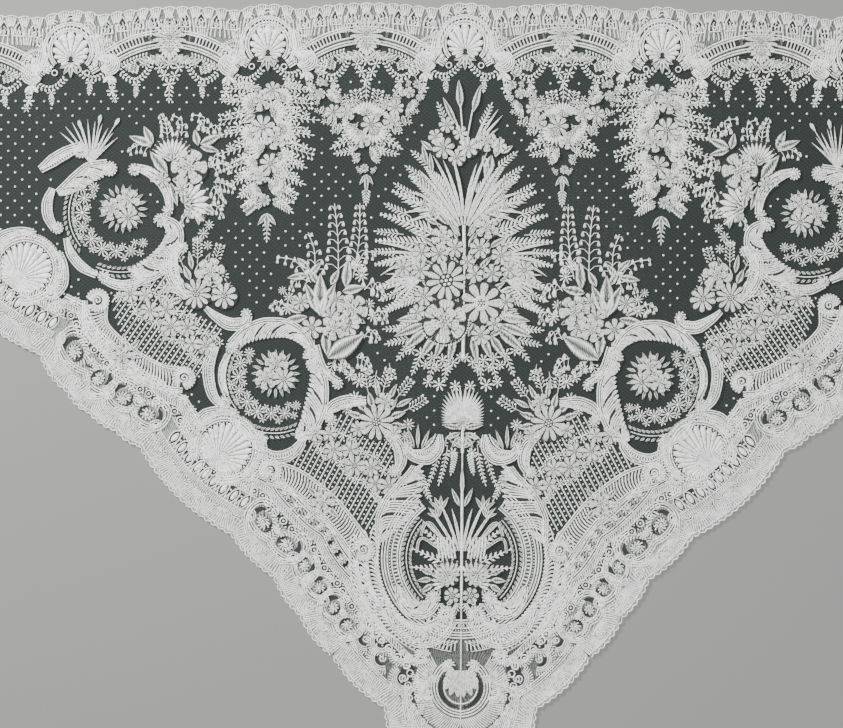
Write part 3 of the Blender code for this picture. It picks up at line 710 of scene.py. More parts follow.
# %% Shells, swags and openings
def shell(lace, x, y, radius, facing, level=0.5, ribs=15, spread=125):
    """A ribbed shell that opens towards one side, on a dark round ground."""
    disc_patch(lace, around(x, y), radius * 1.22, level - 0.6, -1, 28)
    away = np.radians(np.linspace(-spread, spread, ribs))
    offset = 0.5 * radius
    root = around(x - offset * np.cos(np.radians(facing)), y - offset * np.sin(np.radians(facing)))
    # the distance from the shell's foot to its round rim, in each direction
    full = offset * np.cos(away) + np.sqrt(radius ** 2 - (offset * np.sin(away)) ** 2)
    t = steps_of(6)
    reach = radius * 0.14 + (full - radius * 0.14)[:, None] * t
    rib_angle = np.radians(2 * spread / (ribs - 1))
    degrees = facing + np.degrees(away)
    lace.cords(root(degrees[:, None], reach), full[:, None] * t * rib_angle * 0.42 + 0.35, level)
    lace.dots(root(degrees, full + 0.4), full * rib_angle * 0.42, level)


def beads(lace, points, pitch=5, size=5, level=0.2):
    """A rope of small slanting leaves, as in a beaded swag."""
    ground = LineGround(smooth_line(points, 3))
    way = np.arange(pitch / 2, ground.length, pitch)
    for side in (-1, 1):
        blades(lace, ground(way, 0), heading_at(ground, way) + side * 55, size, size * 0.58, level=level,
               shape=DROP_SHAPE, steps=4)


def opening(lace, points, widths, level=0):
    """An opening in the filling, through which the dark net shows."""
    line = np.asarray(points, float)
    halves = np.interp(steps_of(len(line)), steps_of(len(widths)), np.asarray(widths) / 2)
    lace.strips(line, halves, OPENING, level)


def crescent(lace, centre, reach, start, end, width, level=0):
    """A crescent opening round a place."""
    widths = (0.4, width * 0.7, width, width * 0.7, 0.4)
    opening(lace, centre(np.linspace(start, end, 12), reach), widths, level)


def leafy_slits(lace, middle, start, end, reach):
    """Two rows of little leaves along a cord, with slits of open net between them."""
    degrees = np.linspace(start, end, max(int(abs(end - start) * reach / 420), 4))
    for row, lean in ((reach, 1), (reach - 9, -1)):
        leaves(lace, middle(degrees, row), degrees - 90 + 30 * lean, 9, 4.8, level=0.2)
    lace.cords(middle(np.linspace(start, end, 16), reach - 4.5), 0.8, 0.4)


def nested_curl(lace, x, y, size, facing):
    """A curl in a dark crescent, with cords and a row of ribs round its back."""
    centre = around(x, y, facing)
    sweep = np.linspace(-88, 88, 14)
    crescent(lace, centre, size * 0.82, -100, 100, size * 0.5, 0.1)
    curl(lace, centre, size * 0.62, 180, 1, 0.7, 1.3, 1.1)
    for reach in (1.15, 1.4, 1.65):
        lace.cords(centre(sweep, size * reach), 1, 0.5)
    opening(lace, centre(sweep, size * 1.27), (0.6, 2, 0.6), 0.3)
    fan_ribs(lace, centre, size * 1.78, size * 2.3, -84, 84, int(size * 1.5), 1.05, 6, 0.3)


# %% [markdown]
# The long edge and the lower edges are rows of shallow lobes. They could be one long list of
# points, but a lobe is known by its two ends and its rise, so that is all the tables hold.
# Only the right half of the lower edge is drawn. The left half is its mirror image.

# %% The shawl's outline
HALF_WIDTH, TOP, TIP = 1360, 635, -635
TOP_BASE, ARCH = 624.26, 77.5
REPEAT, SHELL_HALF, LOBE_RISE = 318, 49, 9

# the lower edge of the right half: where each lobe ends, how far it bulges, what it belongs to
LOWER_LOBES = [
    (122, -504, 37, "point"), (209, -420, 8, "point"), (260, -357, 6, "band"), (303, -294, 5, "band"),
    (372, -226, 6, "band"), (521, -85, 16, "fan"), (560, -60, 4, "band"), (601, -33, 4, "band"),
    (640, 4, 5, "band"), (682, 62, 7, "band"), (846, 191, 16, "fan"), (934, 252, 6, "end"),
    (1021, 323, 6, "end"), (1191, 446, 14, "end"), (1300, 502, 5, "end"), (1354, 528, 6, "end"),
]


def lower_line(spacing=3):
    """The right half's lower edge from the point to the corner, and where each lobe ends in it."""
    line, marks, start = [], [], np.array([0, TIP])
    for x, y, bulge, _ in LOWER_LOBES:
        end = np.array([x, y], float)
        along = end - start
        length = np.linalg.norm(along)
        out = np.array([along[1], -along[0]]) / length
        t = np.linspace(0, 1, max(int(length / spacing), 4), endpoint=False)[:, None]
        line.append(start + along * t + out * bulge * 4 * t * (1 - t))
        marks.append(sum(len(part) for part in line))
        start = end
    return np.concatenate(line + [[start]]), marks


def top_edge_y(x):
    """The long edge's height, lobe by lobe."""
    x = np.asarray(x, float)
    place = np.mod(x + SHELL_HALF, REPEAT)
    over_shell = place < 2 * SHELL_HALF
    t = np.where(over_shell, place / (2 * SHELL_HALF), (place - 2 * SHELL_HALF) / (REPEAT - 2 * SHELL_HALF))
    return TOP_BASE - ARCH * (x / HALF_WIDTH) ** 2 + LOBE_RISE * 4 * t * (1 - t)


LOWER_LINE, LOBE_MARKS = lower_line()
EDGE = LineGround(LOWER_LINE, settle=5)
BAND = LineGround(LOWER_LINE, settle=26)
LOBE_WAYS = [0] + [EDGE.way[mark] for mark in LOBE_MARKS]
print("lower edge, half:", round(EDGE.length), "mm")

# %% [markdown]
# The net is one sheet, cut to the scalloped outline and laid flat. It is so thin that its
# edge never shows, so a single layer does. It could be a plain polygon, but a cloth of this
# size never lies quite flat, so it gets points all over and a very slow rise and fall.

# %% The net sheet
NET_HEIGHT = 0.6
POINT_SPACING = 24
WAVE = 0.18
NET_EDGE_INSET = 4


def net_sheet():
    """The sheet as one object, and its area in square metres."""
    right = EDGE(np.arange(12, EDGE.length, 12), NET_EDGE_INSET)
    xs = np.arange(HALF_WIDTH - 8, -HALF_WIDTH + 7, -14)
    top = np.stack([xs, top_edge_y(xs) - NET_EDGE_INSET], axis=-1)
    left = (right * (-1, 1))[::-1]
    rim = [Vector(p) for p in np.concatenate([[[0, TIP + NET_EDGE_INSET]], right, top, left])]
    rows = np.arange(TIP, TOP, POINT_SPACING)
    columns = np.arange(-HALF_WIDTH, HALF_WIDTH, POINT_SPACING)
    inner = [Vector((x + (i % 2) * POINT_SPACING / 2, y)) for i, y in enumerate(rows) for x in columns]
    found = delaunay_2d_cdt(rim + inner, [], [list(range(len(rim)))], 1, 1e-5)
    x, y = np.array([tuple(p) for p in found[0]]).T
    height = NET_HEIGHT + WAVE * (np.sin(x / 97) * np.cos(y / 83) + 0.6 * np.sin(x / 41 + y / 53))
    mesh = bpy.data.meshes.new("net_sheet")
    mesh.from_pydata((np.column_stack([x, y, height]) * MM).tolist(), [], [list(face) for face in found[2]])
    mesh.validate()
    mesh.shade_smooth()
    mesh.materials.append(NET)
    made = bpy.data.objects.new("net_sheet", mesh)
    bpy.context.scene.collection.objects.link(made)
    return made, sum(polygon.area for polygon in mesh.polygons)


sheet, sheet_area = net_sheet()
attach(sheet, "root")
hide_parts("net_ground")
print("net sheet:", round(sheet_area, 3), "square metres")

# %% [markdown]
# The long edge has one band of clothwork. Going in from the edge it has a scalloped band of
# fine ribs, a row of little pointed arches, and an arch of cords and slits. Between the
# arches hang shells in round frames, each beside two balls like snails. One repeat is drawn
# by a function, and a loop sets it out along the edge.

# %% The top border
lacework = {}  # the clothwork of each piece, by the CAD node that it stands for


def cloth_for(key):
    """New clothwork, which will stand for that CAD node."""
    lacework[key] = Clothwork()
    return lacework[key]


top = cloth_for("top_border")
TOP_END = 1146
CENTRES = REPEAT * np.arange(-4, 5)


def top_at(x, depth):
    """The ground of the long edge."""
    x, depth = together(x, depth)
    return np.stack([x, top_edge_y(x) - depth], axis=-1)

TOP_SCALLOP = 21.2  # one scallop of the long edge


def top_rim(lace, start, end):
    """The scalloped cord along the long edge."""
    fine = np.arange(start, end, 2.4)
    scallops = np.abs(np.sin(np.pi * fine / TOP_SCALLOP))
    lace.cords(top_at(fine, 2.6 - 3 * scallops), 1, 0.4)


def top_bands(lace):
    """The edge's scallops, each a fan of fine ribs, and the ground below them."""
    way = np.arange(TOP_END, -TOP_END, -4)
    lace.patch(top_at(way[:, None], np.array([60, 31, 1.5])), -0.3, -0.55)
    top_rim(lace, -TOP_END, TOP_END)
    t = steps_of(4)
    spread = np.linspace(-8.4, 8.4, 5)[:, None]
    foot = 16 + 0.25 * np.abs(spread)
    for start in np.arange(-TOP_END, TOP_END - TOP_SCALLOP, TOP_SCALLOP):
        fan = top_at(start + TOP_SCALLOP / 2 + spread * (0.4 + 0.6 * t), foot * (1 - t) + 1.6 * t)
        lace.ribs(fan, 1.3, 0.1)
    way = np.arange(-TOP_END, TOP_END, 5.6)[:, None]
    lace.ribs(top_at(way + 5 * np.sin(way / 9) * t, 19 + 27 * t), 1.2, 0)
    # past the last shell, a plain ribbed band
    for side in (-1, 1):
        way = side * np.arange(REPEAT * 3 + 40, TOP_END, 5.6)
        lace.ribs(top_at(way[:, None], 40 + 18 * t), 1.3, 0.1)
        for depth in (39, 58.5):
            lace.cords(top_at(way, depth), 1.2, 0.4)


def pointed_arch(lace, x, y, turn):
    """A pointed window of cord with a ring and seeds in it."""
    at = turned(x, y, turn)
    opening(lace, at(0, np.linspace(-1.5, 19, 7)), (13, 14.5, 12, 7.5, 1), 0.2)
    u = np.array([-8.6, -8.4, -5.4, 0, 5.4, 8.4, 8.6])
    v = np.array([0, 7, 15, 22.5, 15, 7, 0])
    lace.cords(at(u, v), 1.2, 0.8)
    lace.cords(at(np.array([-9.5, 9.5]), -1), 1.1, 0.8)
    rings(lace, at(0, 4.4), 3, 0.9, 0.5, 9)
    lace.dots(at(np.array([-4.8, 4.8, 0]), np.array([8.6, 8.6, 13])), 1.3, 0.4, 6)


ARCH_CHORD, ARCH_SAG = 94, 34  # half the arch's width, and how far it rises


def arch_side(lace, at, radius, half, side):
    """One half of an arch: its slits, the ribs over its corner, and the leaves that hang from it."""
    degrees = 90 + side * np.arange(15, half + 1, 2)[:, None]
    slits = at(90 + side * np.linspace(12, half - 1, 8), radius + 18.5)
    opening(lace, slits, (10.5, 10.5), -0.1)
    lace.cords(at(degrees, radius + np.array([13, 18, 24])), 1.1, 0.3)
    below = at(90 + side * np.linspace(10, half - 2, 10), radius - 6)
    opening(lace, below, (1, 10, 13, 12, 6), -0.2)
    beads(lace, at(90 + side * np.linspace(half - 3, 14, 6), radius - 7), 5.4, 6)
    corner = around(*at(90 + side * (half - 3), radius + 26))
    for step in range(3):
        fan_ribs(lace, corner, 4 + 7 * step, 9.5 + 7 * step, 20, 330, 12 + 8 * step, 1.1, 10, 0.2)
    degrees = 90 + side * np.array([5, 9, 13, 17, 21])
    leaves(lace, at(degrees, radius - 8), degrees - 180 + side * 34, [26, 24, 22, 20, 18], 11, 0, 0.5)


def arch_ball(lace, x, y, side):
    """The ball at an arch's foot: a snail of cords on a dark disc, over three small leaves."""
    disc_patch(lace, around(x, y), 18.5, 0.9, -1)
    sweep = np.linspace(-70, 250, 16) * side + 90
    for step in range(7):
        ring = around(x + side * step * 1.1, y + 0.6 * step)
        lace.cords(ring(sweep, 16.2 - 2.5 * step), 1.2, 1.1)
    blades(lace, (x, y - 16), [-128, -90, -52], 17, 7, 0, 0.4, DROP_SHAPE, 5)


def top_arch(lace, middle):
    """The arch between two shells, seen from its own middle."""
    base = float(top_edge_y(middle))
    radius = (ARCH_CHORD ** 2 + ARCH_SAG ** 2) / (2 * ARCH_SAG)
    at = around(middle, base - 66 - radius)
    half = np.degrees(np.arcsin(ARCH_CHORD / radius))
    sweep = np.linspace(90 - half - 2, 90 + half + 2, 34)
    lace.patch(at(sweep[:, None], radius + np.array([0, 20, 32])), -0.28, -0.7)
    for reach in (2, 6.2, 12, 25, 29):
        lace.cords(at(sweep, radius + reach), 1.3, 0.4)
    for side in (-1, 1):
        arch_side(lace, at, radius, half, side)
        half_bloom(lace, middle + side * 25, base - 80, 13, -90 - side * 16, 7, 0.9)
    for place in np.linspace(-100, 100, 9):
        pointed_arch(lace, middle + place, float(top_edge_y(middle + place)) - 31, -0.06 * place)
    bloom(lace, middle, base - 49, 27, 16, 11, 1, 0.14)
    half_bloom(lace, middle, base - 66, 17, -90, 7, 1.4)
    for side in (-1, 1):
        x, y = middle + side * (ARCH_CHORD + 2), base - 93
        line = [(x + side * u, base - depth) for u, depth in ((20, 44), (19, 60), (15, 76), (8, 90))]
        scroll(lace, line, (12, 18, 16, 10), side=side, level=0.6, pitch=3.6)
        arch_ball(lace, x, y, side)


def top_shell(lace, x):
    """The shell in its round frame, with bars and leaves at its foot, and lobes over it."""
    y = float(top_edge_y(x)) - 64
    rim = around(x, y)
    shell(lace, x, y, 25, 90, 0.6, 13)
    sweep = np.linspace(-42, 222, 34)
    lace.patch(rim(sweep[::-1][:, None], np.array([29, 44])), 0, -1)
    for reach, half in ((31.5, 1.3), (35.5, 1.6), (41.5, 1.5), (45, 1.2)):
        lace.cords(rim(sweep, reach), half, 0.4)
    for degrees in (18, 54, 90, 126, 162):
        lobe = around(*rim(degrees, 48))
        crescent(lace, lobe, 7.4, degrees - 75, degrees + 75, 3, 0.1)
        for reach in (4.6, 9.6):
            lace.cords(lobe(np.linspace(degrees - 80, degrees + 80, 9), reach), 1.1, 0.5)
    for side in (-1, 1):
        at = turned(x + side * 36, y - 26, side * 32)
        lace.cords(np.stack([at(np.array([-7, 7]), v) for v in (-9, -5, -1, 3)]), 1.2, 0.4)
        rings(lace, [(x + side * 26, y - 36)], 4.4, 1, 0.3, 11)
    feet = np.tile([x, y - 20], (5, 1))
    leaves(lace, feet, np.array([-155, -122, -90, -58, -25]), np.array([20, 22, 24, 22, 20]), 10, level=0.9)


top_bands(top)
for x in CENTRES[1:-1]:
    top_shell(top, x)
for x in CENTRES[1:-2] + REPEAT / 2:
    top_arch(top, x)


# %% [markdown]
# Beaded swags with star flowers and small leafy drops hang below the arches. They come back
# with each arch, so they are drawn once, from the arch's middle, and a loop sets them out.

# %% Swags and sprigs below the top border
def top_swags(lace, middle):
    """Beaded swags between the balls, and the small flowers that hang below them."""
    base = float(top_edge_y(middle))
    for side in (-1, 1):
        for swag in ([(80, -104), (66, -116), (53, -119), (40, -110), (30, -94)],
                     [(100, -104), (113, -114), (128, -116), (141, -109), (151, -98)]):
            line = np.array(swag, float) * (side, 1) + (middle, base)
            beads(lace, line, 6, 6.5)
            stars(lace, [line[2] - (0, 7)], 7, 6)
            twig(lace, line[2][0], line[2][1] - 10, -90, 13, 8 * side, 3, 6)
        stars(lace, [(middle + side * 92, base - 136), (middle + side * 88, base - 148)], [9, 7], 6)
        twig(lace, middle + side * 92, base - 118, -90, 18, 0, 3, 7)
        sprig(lace, middle + side * 54, base - 84, -90 + side * 12, 22)
        stars(lace, [(middle + side * 68, base - 96), (middle + side * 42, base - 92)], [7, 6], 6, 20)
    stars(lace, [(middle + u, base + v) for u, v in (
        (-15, -98), (0, -92), (15, -97), (-8, -110), (9, -111), (0, -124))], [9, 9, 9, 9, 9, 10], 6, 10)
    twig(lace, middle, base - 128, -90, 20, 0, 3, 9)


for x in CENTRES[1:-2] + REPEAT / 2:
    top_swags(top, x)

# %% [markdown]
# The two lower borders are the richest part. A ribbed scalloped band runs along the edge,
# and behind it a row of curls, each in its own cords, then a chain of rings and a twisted
# cord. Twice on each side a fan of drops with a large shell behind it breaks the row. All
# of it is drawn along the edge, by way and depth, so that it follows each lobe.

# %% The edge band and its cords
border = cloth_for("lower_border")
SEAM_WAY = LOBE_WAYS[2]
BAND_DEPTH = 94

EDGE_SCALLOP = 12.6  # one small scallop of the lower edge

END_WAY = EDGE.length - 84


def room_at(way, most):
    """How deep the lace can go behind the lower edge before it meets the long edge."""
    depths = np.arange(2, most, 2)
    places = BAND(np.asarray(way)[:, None], depths)
    return 2 + 2 * (places[..., 1] < top_edge_y(places[..., 0]) - 4).sum(axis=1)


def edge_band(lace, start, end):
    """The scalloped rim and the slanting ribs behind it."""
    way = np.arange(start, end, 4)
    lace.patch(EDGE(way[:, None], np.array([1, 16, 34])), -0.3, 0.15)
    fine = np.arange(start, end, 2.1)
    scallops = np.abs(np.sin(np.pi * fine / EDGE_SCALLOP))
    lace.cords(EDGE(fine, 2.4 - 3.4 * scallops), 1.1, 0.5)
    lace.cords(EDGE(fine, 5.2), 0.9, 0.3)
    ribs = np.arange(start, end, 3.4)
    lean = 9 * np.sin(2 * np.pi * ribs / 58)[:, None]
    t = steps_of(4)
    lace.ribs(EDGE(ribs[:, None] + lean * (t - 0.5), 6 + 25 * t), 1.15, 0.1)

CORNER_FLOWERS = ((1262, 22, 13), (1222, 27, 15), (1182, 30, 14))  # x, depth, radius


def corner_end(lace):
    """The corner, where the two borders meet: scallops, ribs and a few flowers."""
    x = np.arange(1357, 1150, -4)
    floor_y = np.interp(x, LOWER_LINE[:, 0], LOWER_LINE[:, 1])
    deep = np.clip(top_edge_y(x) - floor_y - 1.5, 1.6, 60)
    lace.patch(top_at(x[:, None], deep[:, None] * np.array([1, 0.5, 0.02])), -0.34, -0.35)
    lace.ribs(top_at(x[3::2, None], 1.5 + deep[3::2, None] * steps_of(4) * 0.94), 1.4, 0)
    top_rim(lace, 1150, 1356)
    fine = np.arange(END_WAY, EDGE.length - 2, 2)
    scallops = np.abs(np.sin(np.pi * fine / EDGE_SCALLOP))
    lace.cords(EDGE(fine, 1.6 - 1.6 * scallops), 1.1, 0.5)
    for place, depth, radius in CORNER_FLOWERS:
        bloom(lace, *top_at(place, depth), radius, 8, place, 0.7)


def rope(lace, at, start, end, depth, level=0.3):
    """A twisted cord: slanting stitches between two fine cords."""
    way = np.arange(start, end, 4)
    for shift in (-4.4, 4.4):
        lace.cords(at(way, depth + shift), 0.9, level)
    ribs_across(lace, at, start, end, depth - 3.4, depth + 3.4, 4, 1.2, 5, 0, level)


def inner_row(lace, start, end, depth, high):
    """Ribbed balls in dark crescents between cords, where the border is deepest."""
    way = np.arange(start, end, 5)
    lace.patch(BAND(way[:, None], np.array([depth, (depth + high) / 2, high])), -0.4, 0)
    for shift in (2, 6):
        lace.cords(BAND(way, depth + shift), 1.1, 0.3)
        lace.cords(BAND(way, high - shift), 1.1, 0.3)
    opening(lace, BAND(way, depth + 4), (1.6, 1.6), 0.1)
    middle = (depth + high) / 2
    for place in np.arange(start + 12, end - 8, 20):
        ball = around_on(BAND, place, middle)
        crescent(lace, ball, 10, 190, 330, 4.5, 0.1)
        crescent(lace, ball, 10, 20, 110, 3, 0.1)
        volute(lace, ball, 8, 0, 1, 0.3)


def eyelet(lace, at, u, v, radius=8):
    """A ring of petals round a small hole."""
    centre = around_on(at, u, v)
    disc_patch(lace, centre, radius + 2, 0.05, -1, 12)
    fan_ribs(lace, centre, radius * 0.42, radius, 0, 324, 10, radius * 0.17, 10, 0.5)
    lace.cords(centre(np.linspace(0, 360, 15), radius + 1.8), 0.9, 0.6)


edge_band(border, SEAM_WAY + 1, END_WAY)
corner_end(border)
print("edge band:", border.count, "points")


# %% [markdown]
# Each lobe of the lower border holds one or more curled cells: a ball in a dark hollow, with
# satin ribs round it and cords at its back. The lobes differ in length, so a cell is drawn
# for a given length, and each second one is turned round, as on the real lace.

# %% The curled cells
def curled_cell(lace, middle, length, turn):
    """A ball in a dark hollow, with satin ribs round it and cords at its back."""
    def at(u, v):
        return BAND(middle + turn * np.asarray(u, float), v)
    reach = min(length * 0.32, 16.5)
    centre = around_on(at, -length * 0.04, 55)
    crescent(lace, centre, reach * 1.22, -80, 84, 9)
    crescent(lace, centre, reach * 0.84, 100, 250, 3.6)
    fan_ribs(lace, centre, reach * 1, reach * 1.5, 64, 262, 14, 1.3, 16, 0.3)
    for out in (1.66, 1.93, 2.20):
        lace.cords(centre(np.linspace(-76, 104, 16), reach * out), 1.15, 0.5)
    opening(lace, centre(np.linspace(-66, 98, 12), reach * 1.79), (0.5, 2.4, 0.5), 0.2)
    volute(lace, centre, reach * 0.66, 200, 1, 0.4)
    volute(lace, around_on(at, -length * 0.42, 64), reach * 0.44, 20, -1, 0.4)
    crescent(lace, around_on(at, -length * 0.42, 64), reach * 0.62, -150, 20, 3.2, 0.3)
    arc = np.linspace(-0.5, 0.5, 12) * length
    bow = 24 * (arc / length) ** 2
    for step in range(3):
        lace.cords(at(arc, 33 + 4.2 * step + bow), 1.1, 0.4)
    opening(lace, at(arc[2:-2], 35.1 + bow[2:-2]), (0.5, 2.8, 2.8, 0.5), 0.1)
    eyelet(lace, at, length * 0.38, 47, 6)
    eyelet(lace, at, -length * 0.42, 20, 6)


def chain(lace, start, end, depth=81):
    """A chain of dotted rings with a cord at each side, and the twisted cord behind it."""
    centre = np.arange(start + 8, end - 6, 15.5)
    rings(lace, BAND(centre, depth), 5.6, 1.15, 0.4, 11)
    lace.dots(BAND(centre, depth), 2, 0.3, 6)
    opening(lace, BAND(np.arange(start + 4, end - 4, 5), depth), (12, 12), -0.2)
    for shift in (-4.5, 4.5):
        lace.dots(BAND(centre[:-1] + 7.75, depth + shift), 1.6, 0.2, 5)
    rope(lace, BAND, start, end, depth + 12.5)


for i, (start, end) in enumerate(zip(LOBE_WAYS, LOBE_WAYS[1:])):
    if LOWER_LOBES[i][3] in ("band", "end"):
        parts = max(int(round((end - start) / 50)), 1)
        length = (end - start) / parts
        for k in range(parts):
            if start + (k + 1) * length < EDGE.length - 100:
                curled_cell(border, start + (k + 0.5) * length, length, 1 if (i + k) % 2 else -1)
way = np.arange(SEAM_WAY + 2, END_WAY, 5)
room = room_at(way, BAND_DEPTH)[:, None]
border.patch(BAND(way[:, None], np.minimum(np.array([32, 52, 74, BAND_DEPTH]), room)), -0.32, -0.3)
fans = [(LOBE_WAYS[i], LOBE_WAYS[i + 1]) for i in range(len(LOWER_LOBES)) if LOWER_LOBES[i][3] == "fan"]
inner_row(border, SEAM_WAY + 2, fans[0][0] + 34, 99, 126)
inner_row(border, fans[0][1] - 34, fans[1][0] + 34, 99, 112)
gaps = [SEAM_WAY + 3] + [way for fan in fans for way in (fan[0] + 42, fan[1] - 42)]
gaps.append(way[room[:, 0] > BAND_DEPTH - 2][-1] - 12)
for start, end in zip(gaps[::2], gaps[1::2]):
    chain(border, start, end)


# %% [markdown]
# Where a large shell stands on the border, a row of drops with small peaks between them
# takes the place of the cells. The row follows the edge, and the shell is drawn round its
# own middle, so that it stays round.

# %% Fans and shells
FAN_TO_SHELL = 109


def drop(lace, at, u, v):
    """A drop of cord with a dark line inside it, round a ribbed seed."""
    shape = np.linspace(-14, 14, 9)
    opening(lace, at(u, v + shape), (3, 9.5, 12.5, 13, 9, 3), 0.1)
    for side in (-1, 1):
        bulge = side * np.interp(shape, (-14, -5, 5, 14), (2.6, 6.6, 7, 1))
        lace.cords(at(u + bulge, v + shape), 1, 0.5)
    lace.cords(at(u, v + np.linspace(-8, 9, 6)), np.array([1.4, 3.4, 4.2, 4, 3, 0.8]), 0.4)
    lace.dots(at(u, v - 11)[None], 1.2, 0.4, 6)


def peak(lace, at, u, v):
    """A dark triangle with a small seed, between two drops."""
    opening(lace, at(u, v + np.linspace(-12, 10, 6)), (0.6, 4, 8, 9.5), 0.05)
    for side in (-1, 1):
        lace.cords(at(u + side * np.linspace(0.4, 5.2, 5), v + np.linspace(-12, 11, 5)), 0.9, 0.4)
    lace.dots(at(u, v + 5)[None], 1.7, 0.3, 6)


def fan_and_drops(lace, start, end):
    """A row of drops between little peaks, over ribs and small arcs."""
    middle = (start + end) / 2
    half = (end - start) / 2 - 6

    def at(u, v):
        return BAND(middle + np.asarray(u, float), v)
    ribs_across(lace, at, -half, half, 34, 43, 3.4, 1.1, 0, 0, 0.1)
    for u in np.arange(-half + 10, half - 5, 20):
        ring = around_on(at, u, 36)
        for reach in (5, 8.5):
            lace.cords(ring(np.linspace(200, 340, 8), reach), 0.9, 0.5)
        crescent(lace, ring, 6.8, 205, 335, 2.6, 0.3)
    for u in np.arange(-half + 12, half - 10, 20):
        drop(lace, at, u, 58)
        if u + 20 < half - 10:
            peak(lace, at, u + 10, 58)
    ribs_across(lace, at, -half + 14, half - 14, 74, 100, 3.6, 1.2, 6, 3, 0.1)
    for depth in (44, 72.5):
        lace.cords(at(np.linspace(-half, half, 30), depth), 1, 0.4)


def large_shell(lace, start, end):
    """The shell on its dark ground, in a ring of cords, with a scroll round its back."""
    x, y = BAND((start + end) / 2, FAN_TO_SHELL)
    outward = heading_at(BAND, (start + end) / 2) - 90
    rim = around(x, y)
    disc_patch(lace, rim, 60, -0.2, 0, 30)
    shell(lace, x, y, 37.5, outward + 180, 0.5, 25, 138)
    lace.dots(rim(np.arange(0, 360, 7.2), 41.8), 1.5, 0.5, 5)
    for reach, width in ((45.5, 1.3), (49.5, 1.6), (55.5, 1.4)):
        lace.cords(rim(np.linspace(outward + 25, outward + 335, 44), reach), width, 0.5)
    opening(lace, rim(np.linspace(outward + 30, outward + 330, 40), 47.6), (1.8, 1.8), 0.2)
    fan_ribs(lace, rim, 51.2, 54.4, outward + 30, outward + 330, 56, 1.1, 3, 0.3)
    for side in (-1, 1):
        path = rim(outward + 180 + side * np.linspace(95, 30, 8), 62)
        scroll(lace, path, (16, 22, 14, 8), (13, 9), -side, 0.5)
        for step in range(3):
            lace.cords(rim(outward + side * np.linspace(30, 62, 8), 50 + 4.2 * step), 1.2, 0.4)
        crescent(lace, rim, 64, outward + side * 40, outward + side * 78, 7)


for start, end in fans:
    fan_and_drops(border, start, end)
    large_shell(border, start, end)

# %% [markdown]
# The point is rounded, with a medallion standing on it. Its frame is a ring of beaded cords
# that ends above in two leafy scrolls. Everything here mirrors on the shawl's middle line,
# so it is drawn once, on the right, and then mirrored.

# %% The point
point = cloth_for("point_border")
RING_Y = -262
EYE_Y = -470


def point_bands(lace):
    """The edge of the point, and the curls between it and the medallion's ring."""
    ring = around(0, RING_Y)
    edge_band(lace, 2, SEAM_WAY - 1)
    way = np.arange(0, SEAM_WAY + 5, 6)
    share = steps_of(5)[:, None]
    foot, head = BAND(way, 32), ring(np.linspace(-92, 12, len(way)), 118)
    lace.patch(foot[:, None] * (1 - share) + head[:, None] * share, -0.36, -0.7)
    for depth in (34, 37.5, 41):
        lace.cords(BAND(np.arange(70, SEAM_WAY - 2, 5), depth), 1, 0.4)
    for place in np.arange(138, SEAM_WAY - 14, 41):
        nested_curl(lace, *BAND(place, 62), 11.5, heading_at(BAND, place) - 90 + 25)
    chain(lace, 226, SEAM_WAY + 2)
    for place, depth, size in ((206, 88, 10), (176, 84, 8), (236, 106, 8)):
        nested_curl(lace, *BAND(place, depth), size, heading_at(BAND, place) - 120)


def point_eye(lace):
    """The round eye above the tip: a bud in a dark crescent, with cords and ribs round it."""
    eye = around(0, EYE_Y)
    blades(lace, (2, EYE_Y + 26), [-86, -68, -50, -34, -16], [42, 42, 38, 32, 24], 14,
           0, 0.7, DROP_SHAPE, 8, PETAL)
    crescent(lace, eye, 33, -90, 45, 8, 0)
    for reach, end in ((27, 50), (38.5, 60), (43, 66), (47.5, 70)):
        lace.cords(eye(np.linspace(-90, end, 20), reach), 1.3, 0.4)
    crescent(lace, eye, 45.2, -90, 60, 2.2, 0.2)
    fan_ribs(lace, eye, 51, 76, -90, 40, 40, 1.2, 8, 0.2)
    fan_ribs(lace, eye, 79, 100, -90, -20, 30, 1.2, -8, 0.2)
    opening(lace, eye(np.linspace(-14, 24, 8), 90), (20, 24, 20), -0.1)
    degrees = np.linspace(-12, 22, 6)
    in_and_out = np.where(np.arange(6) % 2, 1, -1)
    rings(lace, eye(degrees, 90 + 5 * in_and_out), 5.2, 1.1, 0.3, 11)
    lace.dots(eye(degrees + 3, 90 - 6 * in_and_out), 1.6, 0.3, 6)
    volute(lace, around(20, -436), 11, 200, 1, 0.8)
    volute(lace, around(62, -420), 14, 180, -1, 0.6)
    for x, y, size, facing in ((96, -414, 10, -70), (128, -396, 11, -50), (146, -364, 10, -35)):
        nested_curl(lace, x, y, size, facing)


